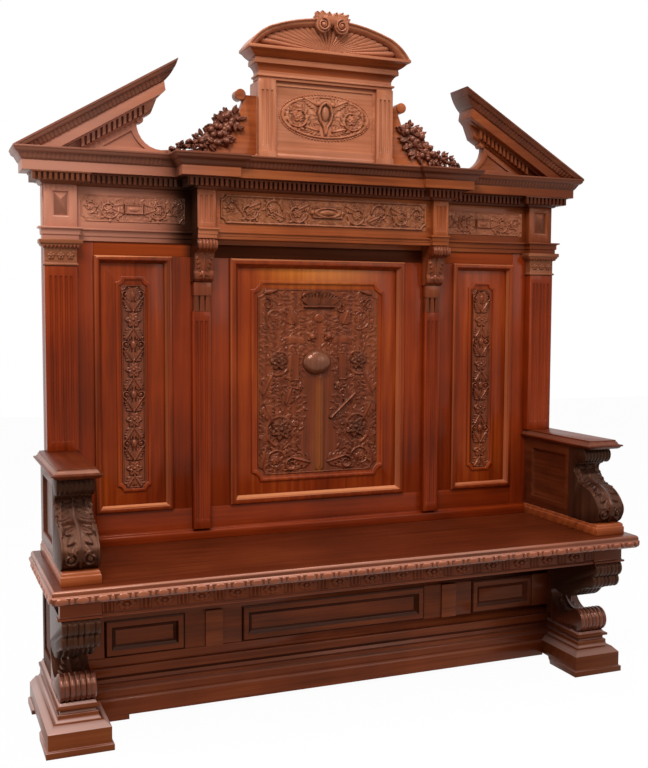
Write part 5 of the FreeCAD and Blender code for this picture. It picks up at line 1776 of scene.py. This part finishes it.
@dataclass
class Swags:
    """Carved fruit and leaves on the side scrolls of the tabernacle."""

    face: float = 197.0
    floor: float = 1674.0
    proud: float = 26.0
    lumps: int = 9
    fruits: int = 84
    leaves: int = 64
    line: tuple[Point3, ...] = (
        (300.0, 1806.0, 30.0), (326.0, 1778.0, 38.0), (350.0, 1745.0, 36.0), (388.0, 1730.0, 28.0),
        (425.0, 1724.0, 19.0), (462.0, 1712.0, 14.0), (500.0, 1699.0, 10.0),
    )

    def spine(self, share: float) -> Point3:
        """Place (x, z) and radius of the swag at a share of its length, from the case outward."""
        stations = np.linspace(0.0, 1.0, len(self.line))
        return tuple(float(np.interp(share, stations, column)) for column in zip(*self.line))

    def build(self) -> None:
        """Makes both swags, each with its own fruit."""
        chance = np.random.default_rng(SEED)
        nodes = ("fruit_swags",)
        for side, word in SIDES:
            body = Body()
            for index in range(self.lumps):
                x, z, radius = self.spine(index / (self.lumps - 1))
                radius = min(radius * 0.82, z - self.floor - 1.0)
                body.ball((side * x, self.face, z), (radius, self.proud * 0.45, radius), 8, 14)
            for index in range(self.leaves):
                x, z, radius = self.spine(float(chance.uniform(0.0, 1.0)))
                angle = float(chance.uniform(0.0, 360.0))
                cos, sin = heading(angle)
                reach = radius * 0.6
                start_x, start_z = side * x + reach * cos, z + reach * sin
                if start_z + radius * sin < self.floor + 4.0:
                    continue
                start = (start_x, self.face - self.proud * chance.uniform(0.1, 0.6), start_z)
                leaf_solid(body, start, angle, 8.0 + radius * 0.62, 5.0 + radius * 0.36, 8.0)
            for index in range(self.fruits):
                x, z, spread = self.spine(index / (self.fruits - 1))
                radius = 3.0 + spread * float(chance.uniform(0.12, 0.26))
                angle = chance.uniform(0.0, 2 * math.pi)
                off = spread * math.sqrt(chance.uniform(0.0, 0.85))
                z = max(self.floor + radius, z + off * math.sin(angle))
                y = self.face - self.proud * float(chance.uniform(0.25, 0.6))
                body.ball((side * (x + off * math.cos(angle)), y, z), (radius, radius, radius), 7, 10)
            mounted(body.build(word + "_fruit", SCROLL, Grain.X), *nodes)
            nodes = ()


# Arms, brackets and scrolls

@dataclass
class Brackets:
    """Carved fronts of the arms, the corbels, the lower scrolls and the two consoles."""

    middle: float = 850.0
    arm_half: float = 52.0
    arm_back: float = -55.0
    arm_front: Point2 = (-219.0, 755.0)
    arm_size: Point2 = (164.0, 238.0)
    arm_steps: tuple[Step, ...] = (
        (0.585, 0.0), ((0.457, 0.126), (0.585, 0.197)), ((0.732, 0.218), (0.805, 0.261)),
        ((0.829, 0.311), (0.744, 0.395)), ((0.646, 0.479), (0.476, 0.529)), ((0.22, 0.605), (0.055, 0.723)),
        ((0.006, 0.79), (0.043, 0.899)), ((0.128, 0.975), (0.238, 1.0)),
    )
    corbel_front: Point2 = (-207.0, 385.0)
    corbel_size: Point2 = (237.0, 139.0)
    corbel_steps: tuple[Step, ...] = (
        (0.0, 0.0), ((-0.038, 0.173), (0.051, 0.317)), ((0.025, 0.475), (0.135, 0.59)),
        ((0.262, 0.676), (0.397, 0.784)), ((0.540, 0.978), (0.726, 1.0)), ((0.878, 0.978), (1.0, 0.849)),
    )
    scroll_half: float = 51.0
    end_front: float = 30.0
    roll: Point2 = (-109.0, 171.0)
    roll_radius: float = 35.0
    roll_side: float = roll_radius * math.sqrt(0.5)
    console_middle: float = 405.0
    console_half: float = 32.0
    console_steps: tuple[Step, ...] = (
        (151.0, 1426.0), (141.0, 1422.0), ((125.0, 1406.0), (141.0, 1390.0)),
        ((159.0, 1386.0), (167.0, 1374.0)), ((169.0, 1350.0), (177.0, 1328.0)),
        ((174.0, 1310.0), (191.0, 1294.0)),
    )
    back_face: float = 214.6
    reeds: int = 7

    def scroll_front(self) -> np.ndarray:
        """Outline of a lower scroll, from its throat down round the roll.

        Returns:
            Points (y, z).
        """
        y, z = self.roll
        return traced([
            (self.end_front, 242.0),
            ((14.0, 202.0), (-24.0, 180.0)),
            ((y + self.roll_side + 26.0, z + 12.0), (y + self.roll_side, z + self.roll_side)),
            ((y - self.roll_radius, z), (y + self.roll_side, z - self.roll_side)),
        ])

    def carve_arm(self, relief: Relief, half: float, length: float) -> None:
        """Reeded roll, beads in the hollow and an acanthus leaf over the belly.

        Args:
            relief: field of places across and down the front.
            half: half its width.
            length: its length.
        """
        for index in range(-3, 4):
            relief.ridge([(index * 13.0, 2.0), (index * 13.0, 62.0)], 11.0, 3.2, 0.0)
        relief.ridge([(-half + 4.0, 92.0), (half - 4.0, 92.0)], 12.0, 6.0, 0.0)
        for index in range(-4, 5):
            relief.dome(index * 10.5, 92.0, 5.0, 5.5, 8.0)
        # Painted shade on the reeded top of the arm, under its cap
        relief.darken(0.6 * np.clip((86.0 - relief.z) / 20.0, 0.0, 1.0))
        relief.spray(0.0, 112.0, 90.0, length - 128.0, 86.0, 9.0, 6)
        for side in (-1, 1):
            relief.spray(side * 30.0, 116.0, 90.0 - side * 6.0, (length - 130.0) * 0.62, 40.0, 6.5)
            relief.ridge(spiral(side * 26.0, length - 52.0, 20.0, 270.0, -side, 1.3), 7.0, 8.0)
            relief.dome(side * 26.0, length - 52.0, 7.0, 7.0, 8.0)

    def carve_reeds(
        self, relief: Relief, half: float, top: float, end: float, fill: float, height: float,
    ) -> None:
        """Reeds side by side over the whole width.

        Args:
            relief: field of places across and down the front.
            half: half its width.
            top: where they start, down the front.
            end: where they end.
            fill: share of their pitch that they fill.
            height: their height.
        """
        pitch = 2 * half / self.reeds
        for index in range(self.reeds):
            x = -half + pitch * (index + 0.5)
            relief.ridge([(x, top), (x, end)], pitch * fill, height, 0.0)

    def carve_roll(self, relief: Relief, half: float, length: float) -> None:
        """Reeds round a roll and leaves up the throat.

        Args:
            relief: field of places across and down the front.
            half: half its width.
            length: its length.
        """
        self.carve_reeds(relief, half, length * 0.4, length, 0.92, 4.5)
        relief.spray(0.0, length * 0.42, 270.0, length * 0.36, 70.0, 6.0)
        # Painted shade in the throat under the corbel
        relief.darken(0.85 * np.clip((length * 0.46 - relief.z) / 25.0, 0.0, 1.0))

    def carve_corbel(self, relief: Relief, half: float, length: float) -> None:
        """Reeds that lie along the lobes, darker all over, with painted shade deepening toward the lower end."""
        self.carve_reeds(relief, half, length * 0.04, length * 0.96, 0.9, 3.8)
        # Darker all over; painted shade deepens toward the lower end by the throat
        relief.darken(0.4 + 0.45 * np.clip((relief.z - length * 0.5) / 40.0, 0.0, 1.0))

    def carve_console(self, relief: Relief, half: float, length: float) -> None:
        """Reeded roll over a pointed leaf.

        Args:
            relief: field of places across and down the front.
            half: half its width.
            length: its length.
        """
        for index in range(-2, 3):
            relief.ridge([(index * 10.5, 2.0), (index * 10.5, 62.0)], 9.0, 2.6, 0.0)
        relief.ridge([(-half + 2.0, 70.0), (half - 2.0, 70.0)], 8.0, 4.0, 0.0)
        relief.spray(0.0, 78.0, 90.0, length - 88.0, 44.0, 5.5, 5)

    def build(self) -> None:
        """Makes each pair of brackets."""
        arm = traced(scaled(self.arm_steps, self.arm_front, self.arm_size))
        corbel = traced(scaled(self.corbel_steps, self.corbel_front, self.corbel_size))
        scroll_low = (self.roll[0] + self.roll_side, 134.0), (self.end_front, 134.0)
        for side, word in SIDES:
            x = side * self.middle
            mounted(swept_carving(
                word + "_arm_carving", arm, [(self.arm_back, 517.0), (self.arm_back, 755.0)],
                x, self.arm_half, self.carve_arm, DARK, end_swell=3.0,
            ), word + "_arm_console")
            mounted(swept_carving(
                word + "_scroll_carving", self.scroll_front(), scroll_low,
                x, self.scroll_half, self.carve_roll, SCROLL,
            ), word + "_lower_scroll")
            mounted(swept_carving(
                word + "_corbel_carving", corbel, [(self.end_front, 267.0), (self.end_front, 385.0)],
                x, self.arm_half, self.carve_corbel, DARK,
            ), word + "_seat_corbel")
            mounted(swept_carving(
                word + "_console_carving", traced(self.console_steps),
                [(self.back_face, 1292.0), (self.back_face, 1425.6)],
                side * self.console_middle, self.console_half, self.carve_console, CARVED, pitch=2.0,
            ))


# Rows of small ornament

@dataclass
class Ornaments:
    """Carved rows on the seat's nosing, the apron, the cornices and the capitals."""

    rows: RowTree = field(default_factory=RowTree)
    nosing_pitch: float = 53.0
    nosing_height: float = 453.0
    apron_pitch: float = 104.0
    apron_line: Point2 = (-203.0, 416.0)
    capital_middle: float = 836.0
    leaf_pitch: float = 13.0
    leaf_half: Point2 = (6.3, 14.0)

    def row(
        self, name: str, unit: Body, count: int, start: Point3, step: Point3, finish: WoodFinish,
        turn: float = 0.0,
    ) -> None:
        """Repeats a unit along a line and mounts it.

        Args:
            name: the piece's name.
            unit: one ornament round the origin.
            count: how many.
            start: place of the first, in millimetres.
            step: distance from one to the next, in millimetres.
            finish: the wood.
            turn: turn about Y in radians.
        """
        piece = unit.build(name, finish, Grain.X, 60.0)
        self.rows.grow(piece, {
            "Count": count, "Start": tuple(value * MM for value in start),
            "Step": tuple(value * MM for value in step), "Turn": turn,
            "Material": finish.material(Grain.X),
        })
        mounted(piece)

    def nosing(self) -> None:
        """Long eggs and round beads along the seat's edge."""
        egg, flank = Body(), Body()
        egg.ball((-7.0, 0.0, 0.0), (19.0, 5.2, 10.0), 8, 14)
        egg.ball((19.0, 0.0, 0.0), (6.5, 5.0, 9.6), 6, 10)
        start = -900.0, -262.2, self.nosing_height
        self.row("nosing_eggs_front", egg, 35, start, (self.nosing_pitch, 0.0, 0.0), NOSING)
        flank.ball((0.0, -7.0, 0.0), (5.2, 19.0, 10.0), 8, 14)
        flank.ball((0.0, 19.0, 0.0), (5.0, 6.5, 9.6), 6, 10)
        for side, word in SIDES:
            start = side * 934.4, -226.0, self.nosing_height
            self.row(word + "_nosing_eggs", flank, 8, start, (0.0, self.nosing_pitch, 0.0), NOSING)

    def apron(self) -> None:
        """Fluted blocks and oval flowers by turns along the apron."""
        block = Body()
        half_width, half_height, rows, columns = 17.0, 19.0, 9, 25
        x, z = np.meshgrid(
            np.linspace(-half_width, half_width, columns), np.linspace(-half_height, half_height, rows),
        )
        waves = 3.6 + 2.6 * np.cos(x / half_width * math.pi * 3.0)
        ends = np.clip((half_height - np.abs(z)) / 3.0, 0.25, 1.0)
        net = np.stack([x, -waves * ends, z], axis=2)
        first = block.grid(net, np.clip((3.0 - waves) / 3.0, 0.0, 1.0))
        close_behind(block, rim(first, rows, columns), 2.0)
        start, step = (-15.0 * self.apron_pitch / 2, *self.apron_line), (self.apron_pitch, 0.0, 0.0)
        self.row("apron_flutes", block, 16, start, step, BASE)
        flower = Body()
        for index in range(8):
            angle = index * math.pi / 4
            flower.ball((18.0 * math.cos(angle), -1.0, 11.0 * math.sin(angle)), (8.5, 4.8, 6.6), 6, 8)
        flower.ball((0.0, -2.0, 0.0), (8.0, 5.4, 6.0), 6, 10)
        self.row("apron_flowers", flower, 15, (-7.0 * self.apron_pitch, *self.apron_line), step, BASE)

    def capitals(self) -> None:
        """Eggs under the abacus and three small flowers on the necking of each capital."""
        flower, egg = Body(), Body()
        for index in range(5):
            angle = math.radians(90.0 + 72.0 * index)
            flower.ball((6.5 * math.cos(angle), -0.6, 6.5 * math.sin(angle)), (5.2, 3.8, 5.2), 6, 8)
        flower.ball((0.0, -2.6, 0.0), (4.2, 3.6, 4.2), 6, 8)
        egg.ball((0.0, 0.0, 0.0), (4.6, 4.6, 8.0), 6, 8)
        for side, word in SIDES:
            x = side * self.capital_middle
            start = x - 28.0, 183.0, 1364.0
            self.row(word + "_capital_flowers", flower, 3, start, (28.0, 0.0, 0.0), CAPITAL)
            self.row(word + "_capital_eggs", egg, 10, (x - 49.5, 175.0, 1394.0), (11.0, 0.0, 0.0), CARVED)

    def cyma_leaf(self) -> Body:
        """Pointed leaf that leans out with the hollow moulding behind it.

        Returns:
            The leaf, with y 0 at its lower end.
        """
        leaf = Body()
        rows, columns = 6, 5
        half, reach = self.leaf_half
        side, rise = np.meshgrid(np.linspace(-1.0, 1.0, columns), np.linspace(0.0, 1.0, rows))
        width = half * np.sin(math.pi * (0.2 + 0.62 * rise)) ** 0.25
        crown = 2.4 * rounded(side) * np.sin(math.pi * (0.12 + 0.76 * rise))
        hollow = np.where(np.abs(side) > 0.9, 0.3, 0.0)
        net = np.stack([side * width, -17.0 * rise ** 1.3 - crown, 2 * reach * rise - reach], axis=2)
        first = leaf.grid(net, hollow)
        close_behind(leaf, rim(first, rows, columns), 2.0)
        return leaf

    def cornices(self) -> None:
        """Leaves along the hollow mouldings of the level and the raking cornices."""
        leaf, pitch, height = self.cyma_leaf(), self.leaf_pitch, 1654.0
        self.row("middle_cornice_leaves", leaf, 64, (-31.5 * pitch, 89.0, height), (pitch, 0.0, 0.0), CYMA)
        slope = np.array([-RAKE_RUN, RAKE_RISE])
        turn = math.atan2(RAKE_RISE, RAKE_RUN)
        x, z = np.array(RAKE_FOOT) + slope * 46.0 + np.array([-slope[1], slope[0]]) * 21.0
        for side, word in SIDES:
            first = 545.0 if side > 0 else -545.0 - 30 * pitch
            start = first, 148.0, height
            self.row(word + "_wing_cornice_leaves", leaf, 31, start, (pitch, 0.0, 0.0), CYMA)
            step = side * slope[0] * pitch, 0.0, slope[1] * pitch
            self.row(word + "_rake_leaves", leaf, 34, (side * x, 148.0, z), step, CYMA, side * turn)

    def build(self) -> None:
        """Makes every row."""
        self.nosing()
        self.apron()
        self.capitals()
        self.cornices()


# Studio

@dataclass
class Studio:
    """Pale floor, soft lamps, a white surround and the camera."""

    lens: float = 47.967
    place: Point3 = (-1.2613, -2.9176, 1.2045)
    yaw: float = 0.387
    pitch: float = 0.071
    roll: float = 0.004
    floor_reach: float = 9.0
    floor_glow: float = 0.965

    def camera(self) -> None:
        """Sets the camera where the photographer's stood."""
        forward = Vector((
            math.sin(self.yaw) * math.cos(self.pitch), math.cos(self.yaw) * math.cos(self.pitch),
            -math.sin(self.pitch),
        ))
        level = Vector((math.cos(self.yaw), -math.sin(self.yaw), 0.0))
        upright = level.cross(forward)
        right = level * math.cos(self.roll) + upright * math.sin(self.roll)
        up = upright * math.cos(self.roll) - level * math.sin(self.roll)
        data = bpy.data.cameras.new("camera")
        data.lens = self.lens
        data.sensor_width = 36.0
        data.clip_end = 60.0
        view = bpy.data.objects.new("camera", data)
        turn = Matrix((right, up, -forward)).transposed().to_4x4()
        view.matrix_world = Matrix.Translation(self.place) @ turn
        bpy.context.scene.collection.objects.link(view)
        bpy.context.scene.camera = view

    @staticmethod
    def lamp(name: str, place: Point3, aim: Point3, size: Point2, power: float) -> None:
        """Adds a rectangular soft lamp.

        Args:
            name: its name.
            place: where it stands, in metres.
            aim: point that it looks at.
            size: its two sides.
            power: its power in watts.
        """
        data = bpy.data.lights.new(name, "AREA")
        data.shape = "RECTANGLE"
        data.size, data.size_y = size
        data.energy = power
        lamp = bpy.data.objects.new(name, data)
        lamp.location = place
        lamp.rotation_euler = (Vector(aim) - Vector(place)).to_track_quat("-Z", "Y").to_euler()
        bpy.context.scene.collection.objects.link(lamp)

    @staticmethod
    def seen(graph: Graph) -> Value:
        """Tells where the camera sees a surface, straight or in a polished or clear one.

        Args:
            graph: graph of the surface's material or the world.

        Returns:
            1 there, and 0 for any other ray.
        """
        path = graph.node("ShaderNodeLightPath", {}, {})
        camera, glossy, clear = (
            Value(graph, path.outputs[name])
            for name in ("Is Camera Ray", "Is Glossy Ray", "Is Transmission Ray")
        )
        return (camera + glossy + clear).eased(0.0, 1.0)

    def world(self) -> None:
        """Soft even light, and plain white where the camera looks past the bench."""
        world = bpy.data.worlds.new("surround")
        graph = emptied(world)
        soft = graph.out("ShaderNodeBackground", {}, {"Color": (0.97, 0.98, 1.0, 1.0), "Strength": 0.34})
        white = graph.out("ShaderNodeBackground", {}, {"Color": WHITE, "Strength": 1.0})
        mixed = graph.out("ShaderNodeMixShader", {}, {0: self.seen(graph), 1: soft, 2: white})
        graph.node("ShaderNodeOutputWorld", {}, {"Surface": mixed})
        bpy.context.scene.world = world

    def floor(self) -> None:
        """Wide pale floor that keeps the bench's shadow."""
        reach = self.floor_reach
        corners = [(-reach, -reach, 0.0), (reach, -reach, 0.0), (reach, reach, 0.0), (-reach, reach, 0.0)]
        mesh = bpy.data.meshes.new("floor")
        mesh.from_pydata(corners, [], [(0, 1, 2, 3)])
        material = bpy.data.materials.new("floor_paper")
        graph = emptied(material)
        seen = self.seen(graph)
        pale = graph.mixed(seen, (0.4, 0.4, 0.4, 1.0), (0.9, 0.9, 0.9, 1.0))
        paper = graph.out("ShaderNodeBsdfDiffuse", {}, {"Color": pale})
        glow = graph.out("ShaderNodeEmission", {}, {"Color": WHITE, "Strength": 1.0})
        both = graph.out("ShaderNodeMixShader", {}, {0: seen * self.floor_glow, 1: paper, 2: glow})
        graph.node("ShaderNodeOutputMaterial", {}, {"Surface": both})
        floor = bpy.data.objects.new("floor", mesh)
        mesh.materials.append(material)
        bpy.context.scene.collection.objects.link(floor)

    def build(self) -> None:
        """Sets up the studio."""
        self.camera()
        self.world()
        self.floor()
        self.lamp("key", (-1.8, -2.8, 4.3), (0.0, 0.1, 1.1), (1.8, 1.4), 175.0)
        self.lamp("top", (0.7, -0.35, 4.0), (0.4, -0.15, 0.5), (2.4, 0.8), 50.0)
        self.lamp("fill", (2.6, -3.6, 2.8), (0.1, 0.1, 1.1), (2.2, 1.8), 34.0)
        self.lamp("side", (-3.4, 0.0, 1.9), (-0.8, 0.0, 1.1), (1.4, 2.2), 26.0)
        bpy.context.scene.view_settings.view_transform = "Standard"


CARVED_NODES = (
    "left_arm_console", "right_arm_console", "left_lower_scroll", "right_lower_scroll",
    "left_seat_corbel", "right_seat_corbel", "shell_arch", "crest_scrolls", "fruit_swags",
)


def main() -> None:
    """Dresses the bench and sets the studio."""
    logging.basicConfig(level=logging.INFO, format="%(name)s %(message)s")
    joinery = Joinery()
    for node in sorted(frame["nodes"]):
        if node not in CARVED_NODES:
            joinery.dress(node)
    for part in (BackPanels(), Friezes(), Tabernacle(), Swags(), Brackets(), Ornaments(), Studio()):
        part.build()


if __name__ == "__main__":
    main()
